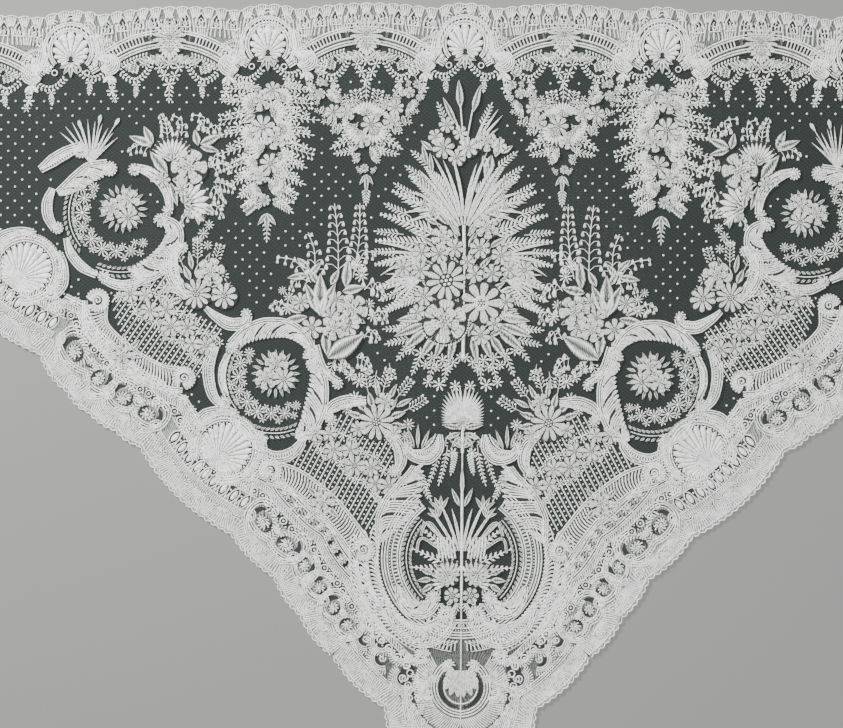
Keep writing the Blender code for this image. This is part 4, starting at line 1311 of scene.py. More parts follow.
def point_ring(lace):
    """The beaded ring of the medallion, and the slanting leaves below it."""
    ring = around(0, RING_Y)
    sweep = np.linspace(-90, 54, 40)
    lace.patch(ring(sweep[:, None], np.array([99, 112, 126])), -0.3, -0.8)
    for reach in (100, 104, 113, 120, 124.5, 129):
        lace.cords(ring(sweep, reach), 1.2, 0.5)
    rungs = np.arange(-88, 54, 3.2)[:, None]
    lace.ribs(ring(rungs, np.array([105.5, 108.5, 111.5])), 1.3, 0.3)
    lace.dots(ring(np.arange(-88, 54, 2.4), 116.6), 1.25, 0.3, 5)
    leafy_slits(lace, ring, -46, 44, 94)
    t = steps_of(5)
    for start, end, low, high in ((-84, 20, 134, 150), (-66, 14, 152, 166), (-46, 10, 168, 180)):
        degrees = np.arange(start, end, 2.6)[:, None] + 7 * (t - 0.5) + 2 * np.sin(np.pi * t)
        lace.ribs(ring(degrees, low + (high - low) * t), 1.6, 0.25)
        lace.cords(ring(np.linspace(start, end, 30), high + 1.2), 0.9, 0.4)
        opening(lace, ring(np.linspace(start, end, 30), low - 2.4), (0.6, 3, 3, 0.6), 0.1)
    opening(lace, ring(np.linspace(-86, -58, 8), 142), (14, 18, 14), 1)
    rungs = np.arange(-86, -58, 2.4)[:, None]
    lace.ribs(ring(rungs, np.array([134.5, 142, 149.5])), 1.1, 1.3)

POINT_SCROLLS = {
    # points, widths, curls, side of the curls, level, bow of the ribs, leaf tips
    "feathery, at the ring's foot": (
        [(104, -306), (94, -330), (74, -346), (54, -343), (41, -330)],
        (8, 20, 28, 26, 18), (0, 12), -1, 1.4, 8, 7),
    "ribbed, below it": (
        [(120, -344), (96, -374), (64, -388), (36, -378), (18, -358)],
        (8, 28, 38, 40, 28), (0, 15), -1, 1, 10, 0),
    "leafy, over the ring": (
        [(134, -236), (117, -200), (95, -165), (81, -135), (75, -114)],
        (10, 44, 54, 40, 14), (0, 0), 1, 1, 3, 9),
    "horn, at the top": (
        [(38, -62), (42, -84), (58, -98), (80, -96), (92, -84)],
        (12, 24, 28, 20, 10), (0, 9), 1, 1.2, 8, 0),
}


def point_scrolls(lace):
    """The scrolls at the foot and the head of the ring, a ladder, and the blades over the horn."""
    scrolls = list(POINT_SCROLLS.values())
    for line, widths, curls, side, level, bow, leafy in scrolls[:2]:
        scroll(lace, line, widths, curls, side, level, bow=bow, leafy=leafy)
    ring = around(0, RING_Y)
    nested_curl(lace, 20, -334, 9, -90)
    opening(lace, ring(np.linspace(-62, -36, 8), 112), (11, 12, 11), 1)
    rungs = np.arange(-62, -36, 4)[:, None]
    lace.cords(ring(rungs, np.array([107, 112, 117])), 1.2, 1.2)
    for line, widths, curls, side, level, bow, leafy in scrolls[2:]:
        scroll(lace, line, widths, curls, side, level, bow=bow, leafy=leafy)
    leaf_rows(lace, ((66, -86, 112, 34, 8), (72, -84, 90, 38, 8), (78, -84, 72, 32, 8),
                     (60, -84, 128, 26, 8)), 0.9)
    twig(lace, 70, -116, -100, 52, -20, 8, 9, 0.4)


point_bands(point)
point_eye(point)
point_ring(point)
point_scrolls(point)
point.both_sides()

# %% [markdown]
# On the net stand four round medallions, two on each side, in frames of scrolls. A frame
# could be one ring with a pattern on it, but its scrolls differ in width and overlap, so
# each is drawn by itself. A table holds them all: a scroll's points, its widths, the size of
# the curl at each end, the side that the curls lie on, and the length of its leaf tips.

# %% Medallion frames
NEAR = (305, 28, 0.95)
FAR = (554, 291, 1)
FRAME_SCROLLS = {
    # points, widths, curls, side of the curls, leaf tips
    "near_frame": (
        ([(240, 66), (256, 90), (282, 106), (318, 108), (350, 98), (376, 80)],
         (12, 22, 30, 32, 26, 14), (13, 10), -1, 8),
        ([(399, 78), (409, 52), (410, 26), (403, -2), (389, -18)],
         (12, 18, 18, 17, 12), (0, 11), -1, 0),
        ([(378, 66), (387, 44), (388, 20), (381, -2)], (8, 12, 12, 8), (0, 0), -1, 0),
        ([(372, -38), (356, -60), (338, -72)], (8, 14, 10), (0, 0), -1, 0),
        ([(332, -72), (325, -90), (305, -101), (282, -98), (264, -84), (254, -64)],
         (12, 18, 20, 20, 16, 8), (12, 0), -1, 0),
        ([(266, -72), (245, -44), (234, -10), (231, 22), (237, 50)],
         (16, 34, 36, 28, 14), (0, 11), -1, 9),
        ([(238, 80), (231, 52), (218, 33), (200, 22)], (12, 15, 13, 10), (0, 9), 1, 0)),
    "far_frame": (
        ([(486, 284), (468, 266), (470, 240), (486, 215), (508, 198), (534, 190)],
         (12, 28, 34, 38, 36, 20), (11, 0), 1, 9),
        ([(655, 322), (630, 338), (604, 357), (574, 368)], (14, 28, 32, 20), (0, 12), 1, 8),
        ([(664, 330), (672, 308), (671, 286), (660, 264)], (10, 17, 17, 12), (0, 10), -1, 0),
        ([(642, 250), (634, 226), (616, 204), (592, 190)], (8, 15, 16, 10), (0, 0), -1, 0),
        ([(582, 184), (558, 175), (536, 176), (512, 184)], (12, 16, 16, 10), (10, 0), -1, 0),
        ([(474, 296), (480, 328), (500, 352), (530, 366)], (10, 16, 17, 10), (9, 10), -1, 0)),
}


def bent(x, y, reaches, start, end, steps=14):
    """Points round (x, y) whose distance from it changes on the way."""
    reach = np.interp(steps_of(steps), steps_of(len(reaches)), reaches)
    return around(x, y)(np.linspace(start, end, steps), reach)


def medallion_frame(lace, key, x, y, size):
    """The frame's scrolls, and two arcs of little leaves inside it."""
    for line, widths, curls, side, leafy in FRAME_SCROLLS[key]:
        scroll(lace, line, widths, curls, side, 0.5, 4.4, leafy=leafy, bow=9 if leafy else 3)
    middle = around(x, y)
    leafy_slits(lace, middle, 60, -40, 88 * size)
    leafy_slits(lace, middle, -66, -112, 100 * size)


for key, place in (("near_frame", NEAR), ("far_frame", FAR)):
    medallion_frame(cloth_for(key), key, *place)


# %% [markdown]
# In each medallion lies a round bunch of blooms, with a curved row of star flowers beside
# it. The near and the far one differ only in place, size and turn, so one function draws
# both.

# %% What fills the medallions
def filling(lace, x, y, row_x, row_y, radius, turn):
    """A round bunch of blooms in a wreath of leaves, and a curved row of star flowers."""
    bunch = around(x, y)
    degrees = np.arange(0, 360, 18)
    leaves(lace, bunch(degrees, 24), degrees, 16, 6.5, 0, 0.3)
    rose(lace, *bunch(95 + turn, 16), 19, 10)
    bloom(lace, *bunch(215 + turn, 17), 18, 9, 20, 1.2)
    rose(lace, *bunch(-28 + turn, 18), 18, 40, 1.2)
    row = around(row_x, row_y)
    degrees = np.linspace(46, -130, 9)
    stars(lace, row(degrees, radius + 3 * np.cos(degrees)), [9, 11, 12, 10, 12, 12, 11, 10, 8], 10, degrees)
    small = (degrees[:-1] + degrees[1:]) / 2
    for shift, size in ((-9, 6), (10, 6.5)):
        stars(lace, row(small, radius + shift), size, 6, 15)


filling(cloth_for("near_filling"), 302, 34, 305, 26, 58, 0)
filling(cloth_for("far_filling"), 550, 298, 556, 289, 61, 25)

# %% [markdown]
# Between the medallions the ground is barred: fine slanting bars of thread with a row of
# dots between each two. A garland lies over it, with a large open flower at its head, and a
# ladder scroll at its foot. The bars are parallel lines cut off at the sides of a
# four-cornered field.

# %% Barred panels
BAR_PITCH = 9.4


def barred_ground(lace, corners, degrees):
    """Slanting bars with dots between them, inside a field given by its corners."""
    corners = np.asarray(corners, float)
    at = turned(0, 0, degrees)
    c, s = np.cos(np.radians(degrees)), np.sin(np.radians(degrees))
    along, across = corners[:, 0] * c + corners[:, 1] * s, corners[:, 1] * c - corners[:, 0] * s
    for v in np.arange(across.min() + 1, across.max() - 1, BAR_PITCH):
        cross = []
        for a, b, p, q in zip(along, np.roll(along, -1), across, np.roll(across, -1)):
            if (p - v) * (q - v) < 0:
                cross.append(a + (b - a) * (v - p) / (q - p))
        if len(cross) < 2:
            continue
        low, high = min(cross), max(cross)
        lace.ribs(at(np.linspace(low, high, 4), v), 1.15, -0.1)
        if high - low > 12:
            lace.dots(at(np.arange(low + 5, high - 3, 8), v + BAR_PITCH / 2), 1.5, -0.1, 6)


def ladder_scroll(lace, points):
    """Rungs between two pairs of cords, with a rosette in the middle and a snail at each end."""
    ground = LineGround(smooth_line(points, 4), 2)
    way = np.linspace(0, ground.length, 24)
    lace.patch(ground(way[:, None], np.array([22, 0, -19])), -0.25, -1)
    for reach in (-18, -14.6, 15, 18.4, 21.6):
        lace.cords(ground(way, reach), 1.2, 0.5)
    ribs_across(lace, ground, 8, ground.length - 8, -13, 13.4, 5.4, 1.4, 6, 3, 0.3)
    x, y = ground(ground.length / 2, 2)
    degrees = np.arange(0, 360, 45)
    leaves(lace, around(x, y)(degrees, 12), degrees, 24, 12, 0, 0.9)
    rose(lace, x, y, 19, 0, 1.3)
    for place, wind in ((0, 1), (ground.length, -1)):
        x, y = ground(place, -2)
        volute(lace, around(x, y), 19, heading_at(ground, place) + 90, wind, 0.9)


GARLAND = [
    # along, across, radius
    (-76, 6, 15), (-56, -8, 12), (-34, 8, 16), (-14, -9, 14), (8, 6, 17), (30, -8, 15),
    (52, 7, 13), (72, -4, 15),
]


def panel_head(lace, blooms, facing):
    """The open flowers at a panel's head, with leaves and sprigs behind them."""
    flower = around(*blooms[0][:2])
    degrees = facing + np.linspace(-100, 100, 8)
    leaves(lace, flower(degrees, 24), degrees, 26, 14, level=0.5)
    fan = facing + np.array([-34, 0, 34])
    leaves(lace, flower(facing + np.array([-24, 0, 24]), 40), fan, 30, 11, level=0.3)
    for turn in (-44, -16, 12, 40):
        sprig(lace, *flower(facing + turn, 44), facing + turn, 44, -turn * 0.4, 6, 5)
    stars(lace, flower(facing + np.array([-95, -70, 66, 88]), 52), [9, 11, 10, 9], 9)
    bloom_rows(lace, blooms, 1.3)


def panel(lace, corners, bars, blooms, facing, scrolls, garland, ladder):
    """A barred field with its scrolls, the flowers at its head, its garland and its ladder scroll."""
    barred_ground(lace, corners, bars)
    for line, widths, curls, side in scrolls:
        scroll(lace, line, widths, curls, side, 0.8, 4, bow=7)
    panel_head(lace, blooms, facing)
    x, y, degrees = garland
    at = turned(x, y, degrees)
    u = np.linspace(-88, 86, 15)
    leaves(lace, at(u, 12 * np.sin(u / 7)), degrees + 90 + 60 * np.cos(u), 18, 9, level=0.3)
    stars(lace, at(u, 20 + 4 * np.sin(u / 9)), 7.5, 7, u, 0.5)
    stars(lace, at(u, -21 + 4 * np.cos(u / 8)), 7, 6, u, 0.5)
    for u, v, radius in GARLAND:
        bloom(lace, *at(u, v), radius, 8 if radius > 14 else 6, u * 3, 1)
    ladder_scroll(lace, ladder)


PANELS = {
    # the field's corners and the bars' angle, the head's flowers and the way they face, scrolls,
    # the garland's place and angle, and the ladder's line
    "near_panel": (
        [(208, -32), (176, -32), (113, -75), (113, -110), (145, -227), (165, -205), (219, -147),
         (288, -104), (230, -65)], 118,
        [(139, -43, 29, 12), (112, -62, 14, 8), (168, -54, 13, 8), (126, -10, 15, 0)], 118,
        [([(156, -9), (191, -11), (215, -24), (216, -40)], (12, 20, 20, 10), (0, 9), -1),
         ([(123, -62), (104, -80), (99, -106), (106, -124)], (10, 18, 20, 12), (0, 10), 1)],
        (176, -104, -141),
        [(310, -124), (268, -138), (218, -176), (184, -216), (160, -250)]),
    "far_panel": (
        [(477, 211), (569, 162), (563, 125), (549, 90), (491, 41), (422, 24), (390, 107),
         (431, 130), (468, 180)], 124,
        [(431, 162, 24, 12), (386, 159, 21, 9), (408, 197, 23, 0)], 80,
        [([(445, 156), (460, 171), (471, 197), (471, 226), (458, 240)],
          (10, 20, 24, 22, 12), (0, 10), 1),
         ([(416, 139), (399, 125), (376, 113), (353, 116), (346, 128)],
          (8, 14, 20, 20, 12), (0, 9), -1)],
        (474, 119, -142),
        [(592, 150), (588, 104), (540, 58), (490, 30), (450, 24)]),
}
for key, parts in PANELS.items():
    panel(cloth_for(key), *parts)

# %% [markdown]
# The sprays stand free on the net: a tall bouquet of reeds, ferns and flowers in the middle,
# and on each side a hanging garland, a festoon, bells, roses and reeds. Each is built from
# the small forms above. The plants could be strewn by chance, but a worker lays them out
# along a stem, in a fan or one by one, and so they are placed here.

# %% The centre bouquet
def mirrored_angles(*degrees):
    """The angles and their mirror images across the upright."""
    return np.array(degrees + tuple(180 - d for d in degrees), float)


TWIG_ROWS = (
    # the tip's place and heading, on the right
    (41, 466, 66), (80, 390, 40), (89, 366, 36), (107, 338, 34), (122, 306, 26), (137, 264, 6),
    (141, 232, 2), (129, 156, -22), (126, 138, -28), (122, 107, -4), (119, 84, -14))
FERN_ROWS = (
    # foot, angle, length
    (20, 316, 58, 66), (30, 304, 48, 78), (36, 282, 38, 94), (46, 258, 28, 96), (52, 238, 14, 92),
    (58, 218, 2, 86), (60, 196, -10, 84), (56, 172, -22, 80), (52, 148, -32, 72))

BENT_REEDS = (
    [(12, 262), (34, 300), (47, 326), (58, 326), (68, 302)],
    [(8, 258), (22, 286), (34, 308), (44, 312), (54, 292)])

FOOT_LEAVES = (
    # place, angle, length, width
    (60, 128, -8, 48, 19), (60, 116, -22, 56, 18), (56, 108, -40, 56, 20), (44, 98, -56, 46, 17),
    (30, 98, -68, 42, 16), (14, 96, -78, 46, 15))

FOOT_STARS = (
    # place and radius
    (16, 54, 9), (33, 58, 10), (50, 62, 9), (68, 68, 10), (84, 74, 9), (24, 44, 8), (42, 46, 8),
    (60, 50, 8), (12, 16, 9), (38, 18, 11), (56, 22, 9), (4, 62, 8))

HEAD_FLOWERS = (
    # place, radius, petals; 0 petals is a full rose
    (-29, 437, 13, 7), (-47, 418, 12, 6), (-7, 424, 12, 6), (6, 401, 17, 8), (35, 411, 17, 0),
    (-34, 400, 18, 8), (-12, 384, 14, 7), (56, 404, 12, 6))

HEART_FLOWERS = (
    (37, 272, 19, 0), (-35, 256, 18, 0), (26, 238, 17, 8), (-40, 229, 16, 8), (-14, 238, 15, 7),
    (60, 227, 16, 8), (-68, 230, 15, 7), (74, 204, 14, 7), (98, 203, 16, 9), (-98, 206, 15, 8),
    (-70, 202, 15, 8), (46, 198, 15, 7), (18, 196, 14, 6), (6, 216, 12, 6), (-64, 160, 16, 8),
    (68, 152, 14, 7), (-74, 134, 13, 6), (28, 98, 16, 8), (50, 116, 12, 6))


def bouquet_side(lace, side):
    """One side of the bouquet: twigs and ferns that spread out, blades, reeds and leaves."""
    for x, y, degrees in TWIG_ROWS:
        foot = side * (x - 40 * np.cos(np.radians(degrees))), y - 40 * np.sin(np.radians(degrees))
        twig(lace, *foot, leaning(side, degrees), 42, 0, 6, 9, 0.2)
    for x, y, degrees, length in mirrored_rows(side, FERN_ROWS):
        fern(lace, x, y, degrees, length, 36, -14 * side, 12, 0.4)
    # arching blades, and a drooping tuft lower down
    for x, y, start, count, length in ((62, 224, 30, 6, 80), (72, 186, 24, 6, 56), (20, 296, 64, 6, 84)):
        degrees = leaning(side, start - 13 * np.arange(count))
        blades(lace, (side * x, y), degrees, length, 5.4, -28 * side, 0.7, section=FLAT)
    # leaves that fill the ground between the flowers
    for y in np.arange(96, 296, 18):
        for x in np.arange(8, 74 - abs(y - 190) * 0.2, 17):
            leaf_rows(lace, ((side * x, y, 90 - side * (20 + x * 0.9), 30, 12),), 0.4)
    for line in BENT_REEDS:
        lace.strips(smooth_line(np.array(line, float) * (side, 1), 5), 3.3, VEINED, 1.3)
    leaf_rows(lace, mirrored_rows(side, FOOT_LEAVES), 0.8)
    for x, y, degrees in mirrored_rows(side, ((26, 58, -84), (46, 60, -76), (68, 66, -66), (84, 84, -50))):
        twig(lace, x, y, degrees, 30, 0, 4, 9, 0.3)
    star_rows(lace, [(side * x, y, radius) for x, y, radius in FOOT_STARS], 7, side * 8, 0.6)


def bouquet_sheaf(lace):
    """The sheaf of long blades in the middle, and the stem."""
    degrees = mirrored_angles(87, 81, 74.5, 68, 61, 54, 47)
    reach = np.tile([118, 126, 124, 120, 114, 106, 92], 2)
    bend = np.where(degrees < 90, -16, 16)
    feet = around(0, 260)(degrees, np.tile([16, 30], 7))
    for part, level in ((slice(0, None, 2), 1.2), (slice(1, None, 2), 1.8)):
        blades(lace, feet[part], degrees[part], reach[part] - 16, 6.6, bend[part], level,
               REED_SHAPE, 8, FLAT)
    stem(lace, [(0, 60), (1, 190), (0, 275)], 2.6, 0.6)


def bouquet_head(lace):
    """Buds on stalks, leaves and round flowers at the bouquet's head."""
    for x, y, degrees, width in ((-7, 464, 94, 15), (13, 458, 74, 14), (-15, 440, 116, 12)):
        stem(lace, [(0, 380), (x * 0.4, 420), (x, y + 6)], 1.2, 0.8)
        leaf_rows(lace, ((x, y, degrees, 46, width),), 1.1)
    blades(lace, (10, 392), [70, 62, 54, 46, 120], [76, 84, 80, 60, 60], 5.4, -8, 0.8, section=FLAT)
    leaf_rows(lace, (
        (50, 386, 76, 34, 17), (44, 388, -104, 42, 21), (30, 388, -72, 30, 14), (60, 392, 34, 22, 11),
        (-52, 396, 140, 24, 12), (-60, 372, 104, 34, 11), (-52, 358, 96, 34, 10),
        (-66, 330, 100, 30, 11)), 1)
    bloom_rows(lace, HEAD_FLOWERS, 1.4)


def centre_bouquet(lace):
    """The whole bouquet, with its three large flowers on top."""
    for side in (1, -1):
        bouquet_side(lace, side)
    bouquet_sheaf(lace)
    bouquet_head(lace)
    bloom_rows(lace, HEART_FLOWERS, 1.6)
    bloom(lace, -28, 186, 32, 12, 10, 2, 0.36)
    bloom(lace, 29, 150, 33, 9, 0, 2, 0.24)
    rings(lace, [(29, 150), (29, 150)], [8, 11], 1.1, 2.7, 15)
    rose(lace, -30, 120, 35, 24, 2.2)
    lace.dots(around(-30, 120)(np.arange(-150, 10, 6.4), 39), 1.6, 1.9, 6)


centre_bouquet(cloth_for("centre_bouquet"))


# %% [markdown]
# Under the bouquet stands a small palm, and in the point's medallion a bouquet on a tall
# stem. Their left and right are alike, so each row is written once and mirrored.

# %% The palm and the bouquet in the point
def palm_finial(lace):
    """A fan of blades on a stem, with leafy curls and hanging twigs below it."""
    degrees = mirrored_angles(*np.arange(-6, 88, 7.6))
    reach = 34 + 24 * np.clip(np.sin(np.radians(degrees)), 0, 1) ** 2
    blades(lace, (0, -40), degrees, reach, 5.6, level=0.4, section=FLAT)
    bloom(lace, 0, -44, 12, 9, 0, 1)
    stem(lace, [(0, -46), (0, -92)], 2.4, 0.4)
    for side in (1, -1):
        rows = ((4, -52, 10, 30, 11), (4, -60, -20, 26, 11), (4, -66, -52, 22, 11))
        leaf_rows(lace, mirrored_rows(side, rows), 0.6)
        curl(lace, around(side * 21, -66), 7, 90, side, 0.4, 1.2, 1.1)
        rows = ((12, -84, -88, 40), (24, -80, -84, 62), (36, -84, -78, 66))
        for x, y, degrees, length in mirrored_rows(side, rows):
            twig(lace, x, y, degrees, length, side * 12, 8, 7, 0.2)
        stars(lace, [(side * 16, -92), (side * 30, -76)], [9, 7], 7)
    leaves(lace, (0, -84), [30, 70, 110, 150], 24, 8, level=0.7)

POINT_REEDS = (
    [(14, -254), (34, -226), (50, -206), (60, -208), (66, -226)],
    [(12, -262), (40, -244), (62, -230), (70, -236), (72, -252)])


def point_bouquet(lace):
    """A tall stem with blades, bent reeds, ferns and a large fan flower on each side."""
    stem(lace, [(0, -335), (0, -240), (0, -150)], 2.2, 0.8)
    leaf_rows(lace, ((0, -160, 90, 46, 9), (4, -178, 66, 32, 10), (-4, -178, 114, 32, 10)), 1)
    for side in (1, -1):
        rows = ((2, -250, 84, 70), (5, -250, 74, 88), (9, -250, 63, 84), (13, -252, 51, 72))
        x, y, degrees, length = np.array(mirrored_rows(side, rows)).T
        blades(lace, np.column_stack([x, y]), degrees, length, 6, -side * 12, 0.8, REED_SHAPE, 7, FLAT)
        for line in POINT_REEDS:
            lace.strips(smooth_line(np.array(line, float) * (side, 1), 5), 2.8, VEINED, 0.9)
        # striped combs, star leaflets and ferns
        for u in np.arange(10, 40, 5):
            lace.cords([(side * u, -262), (side * (u + 3), -244), (side * (u + 4), -228)], 1.5, 0.9)
        for degrees in (120, 90, 62, 35):
            rows = ((34, -184, degrees, 24, 8), (38, -196, degrees - 15, 20, 7))
            leaf_rows(lace, mirrored_rows(side, rows), 0.4)
        for x, y, degrees, length in mirrored_rows(side, (
                (16, -278, 30, 72), (16, -284, 10, 66), (16, -258, 46, 66))):
            fern(lace, x, y, degrees, length, 26, -8 * side, 8, 0.4)
        # the fan flower, with a round one in its foot
        half_bloom(lace, side * 16, -300, 34, leaning(side, 48), 11, 1.2)
        bloom(lace, side * 23, -288, 20, 12, 0, 1.6)
        rows = ((46, -288, 24, 24, 12), (48, -296, -6, 24, 12), (46, -304, -34, 24, 12),
                (34, -312, -62, 24, 12))
        leaf_rows(lace, mirrored_rows(side, rows), 0.9)
        bloom(lace, side * 15, -322, 13, 7, 0, 1.5, 0.4)


palm_finial(cloth_for("palm_finial"))
point_bouquet(cloth_for("point_bouquet"))


# %% [markdown]
# Festoons and garlands are ropes of flowers in full bloom. Each flower could have its own
# row in a table, but on such ropes the kinds come in turn, so one function strings roses,
# round flowers and fan flowers on a line, and a short table gives the twigs at its sides.

# %% Festoons and hanging garlands
def garland_of(lace, line, size, count, turn=0, level=0.9):
    """Open flowers, roses and fan flowers along a line, with stars and leaves on both sides."""
    ground = LineGround(smooth_line(line, 5))
    way = np.linspace(0.05, 0.95, count) * ground.length
    sizes = np.interp(way / ground.length, steps_of(len(size)), size)
    for side in (-1, 1):
        heading = heading_at(ground, way) + side * 62
        leaves(lace, ground(way, side * sizes * 0.8), heading, sizes * 1.3, sizes * 0.7, side * 14, 0.3)
        feet = ground(way + sizes * 0.5, side * sizes * 0.9)
        leaves(lace, feet, heading - side * 30, sizes * 0.9, sizes * 0.5, 0, 0.4)
        stars(lace, ground(way + sizes * 0.9, side * sizes * 1.5), sizes * 0.46, 6, way, 0.5)
        stars(lace, ground(way - sizes * 0.1, side * sizes * 1.9), sizes * 0.36, 5, way, 0.3)
    for i, (place, radius) in enumerate(zip(way, sizes)):
        offset = (1 if i % 2 else -1) * radius * 0.42
        x, y = ground(place, offset)
        facing = heading_at(ground, place) + np.sign(offset) * (40 + 30 * (i % 3))
        if i % 3 == 1:
            rose(lace, x, y, radius * 0.92, turn + 40 * i, level)
        elif i % 3 == 2:
            half_bloom(lace, x, y, radius * 1.15, facing, 9, level)
        else:
            bloom(lace, x, y, radius * 0.95, 8 + i % 3, turn + 25 * i, level)

FESTOON_X = 158  # the festoon hangs from two places, and its lowest flowers hang here


def festoon(lace):
    """Two arms of flowers that meet, and a tail that hangs from where they meet."""
    middle = FESTOON_X
    for start in ((238, 508), (78, 508)):
        lean = start[0] - middle
        line = [start] + [(middle + lean * share, y) for share, y in ((0.84, 478), (0.50, 452), (0.2, 440))]
        garland_of(lace, line, (7, 11, 15, 16), 6)
        sprig(lace, *start, 90 + lean * 0.2, 24)
    garland_of(lace, [(middle, 440), (middle, 396), (middle, 362)], (18, 14, 7), 4)
    half_bloom(lace, middle, 452, 24, 90, 11, 1.2)
    for side in (-1, 1):
        half_bloom(lace, middle + side * 12, 428, 23, -90 + side * 30, 9, 1.4)
        for y, angle, length in ((440, 28, 50), (420, 40, 44), (398, 50, 34)):
            twig(lace, middle + side * 14, y, -90 + side * angle * 1.4, length, side * 12, 5, 9)
        sprig(lace, middle + side * 14, 466, 90 - side * 10, 26, 0, 4, 6)
        sprig(lace, middle + side * 44, 478, 90 - side * 30, 20, 0, 3, 6)
    leaf_rows(lace, [(middle, 352, -90, 26, 9), (middle, 356, -124, 20, 8), (middle, 356, -56, 20, 8)], 0.6)
    twig(lace, middle, 338, -90, 26, 0, 5, 9)


PENDANT_TWIGS = (
    # height, angle, length
    (500, 70, 44), (478, 72, 56), (458, 66, 62), (436, 62, 64), (412, 58, 62), (388, 54, 54),
    (364, 50, 46), (340, 44, 38), (318, 36, 30))

PENDANT_FANS = (
    # place, radius, the way it faces
    (296, 478, 19, 150), (342, 468, 20, 30), (295, 428, 21, 190), (343, 420, 19, -20),
    (300, 384, 18, 200), (336, 376, 18, -30), (306, 340, 15, 210), (330, 332, 15, -40))

PENDANT_X = 318



def pendant(lace):
    """A long garland that hangs down, with twigs, sprigs and star flowers on both sides."""
    for i, (y, angle, length) in enumerate(PENDANT_TWIGS):
        for side in (-1, 1):
            x = PENDANT_X + side * 14
            heading = -90 + side * angle
            if (i + side) % 3 == 0:
                sprig(lace, x, y, heading, length * 1.05, side * 20, 6, 6, 0.3)
            else:
                twig(lace, x, y, heading, length * (0.9 if i % 2 else 1.05), side * 22, 6, 10, 0.2)
            foot = around(x, y)(heading + side * 8, length * np.array([0.55, 0.8]))
            stars(lace, foot + (0, 7), [9.5, 7.5], 6, i * 20, 0.5)
    line = [(314, 502), (322, 460), (314, 410), (322, 360), (317, 304)]
    garland_of(lace, line, (13, 21, 21, 19, 15, 9), 10)
    for x, y, radius, facing in PENDANT_FANS:
        half_bloom(lace, x, y, radius, facing, 9, 1)
    leaf_rows(lace, [(PENDANT_X, 292, degrees, length, width) for degrees, length, width in (
        (-128, 24, 10), (-90, 30, 11), (-52, 24, 10))], 0.6)
    twig(lace, PENDANT_X, 284, -90, 32, 0, 4, 9)


festoon(cloth_for("festoon"))
pendant(cloth_for("pendant"))


# %% [markdown]
# Three more sprays stand on each half. Their stems and leaves spread as in a picked bunch,
# which no simple rule gives, so each stem and leaf is a row in a table.

# %% Bells, roses and reeds
BELL_STEMS = (
    # the stem's points, the number of bells, their reach; three upright, the rest at the sides
    ([(240, 190), (241, 232), (251, 262)], 5, 12), ([(202, 190), (203, 250), (209, 309)], 8, 17),
    ([(178, 190), (169, 250), (168, 310)], 9, 14), ([(176, 206), (158, 232), (144, 226)], 4, 8),
    ([(250, 190), (272, 216), (302, 222)], 5, 7), ([(246, 182), (270, 188), (278, 172)], 4, 7),
    ([(160, 170), (146, 182), (128, 160)], 5, 9), ([(152, 130), (132, 136), (126, 120)], 4, 9),
    ([(160, 92), (150, 106), (137, 92)], 4, 8), ([(172, 62), (158, 56), (150, 40)], 4, 8),
    ([(284, 140), (298, 150), (310, 142)], 4, 7), ([(206, 62), (192, 50), (178, 40)], 4, 7))

BELL_LEAVES = (
    # place, angle, length, width
    (249, 203, 42, 27, 14), (251, 193, -8, 34, 15), (247, 193, 128, 27, 14), (190, 174, 95, 46, 20),
    (195, 167, 168, 36, 20), (252, 126, -12, 42, 17), (223, 102, -96, 40, 20), (262, 132, 28, 34, 14),
    (158, 116, 30, 26, 12), (170, 96, -10, 26, 12), (236, 180, 60, 26, 14), (214, 178, 118, 28, 15),
    (156, 150, 8, 26, 11), (240, 88, -60, 30, 15))

BELL_STARS = (
    # place and radius
    (281, 157, 9), (283, 139, 10), (152, 147, 9), (146, 128, 10), (171, 209, 10), (165, 193, 11),
    (181, 32, 10), (167, 24, 12), (292, 168, 7), (196, 44, 8))


def bell_bouquet(lace):
    """Arching stems of bells over a bunch of leaves and round flowers."""
    for line, count, reach in BELL_STEMS:
        bell_spray(lace, line, count, 9, reach, 0.2)
    leaf_rows(lace, BELL_LEAVES, 0.4)
    star_rows(lace, BELL_STARS, 9, 10, 0.5)
    bloom_rows(lace, ((262, 150, 15, 8), (205, 154, 14, 8), (244, 108, 18, 7), (186, 112, 18, 8),
                      (214, 128, 15, 7)), 0.9)
    leaf_rows(lace, ((231, 130, 116, 56, 22), (231, 130, 64, 56, 22), (231, 128, 90, 68, 30)), 1.2)
    rose(lace, 179, 138, 25, 10, 1.4)
    rose(lace, 208, 108, 20, 40, 1.3)
    leaf_rows(lace, ((218, 60, 147, 70, 36),), 1.6)
    for x, y, degrees in ((139, 40, -80), (119, 52, -100), (206, 60, -70)):
        sprig(lace, x, y, degrees, 26, 0, 4, 5)

ROSE_STEMS = (
    ([(479, 416), (482, 436), (490, 452)], 5, 8), ([(457, 416), (456, 440), (472, 450)], 4, 7),
    ([(424, 424), (420, 446), (441, 450)], 4, 7), ([(422, 422), (402, 434), (394, 418)], 4, 7),
    ([(409, 366), (392, 372), (377, 366)], 4, 8), ([(406, 366), (402, 386), (388, 382)], 4, 7),
    ([(404, 342), (388, 340), (371, 332)], 5, 8), ([(404, 336), (394, 318), (386, 310)], 4, 7),
    ([(410, 306), (396, 302), (391, 288)], 3, 7), ([(506, 398), (524, 402), (541, 392)], 4, 8),
    ([(440, 300), (448, 290), (456, 276)], 3, 6))

ROSE_LEAVES = (
    (504, 401, 21, 40, 18), (503, 403, 63, 32, 17), (430, 401, 78, 26, 15), (426, 403, 156, 36, 18),
    (426, 399, 194, 32, 14), (474, 341, -107, 40, 15), (446, 306, -100, 24, 11), (430, 304, -94, 32, 15),
    (424, 306, 208, 26, 13), (494, 352, 20, 36, 16))

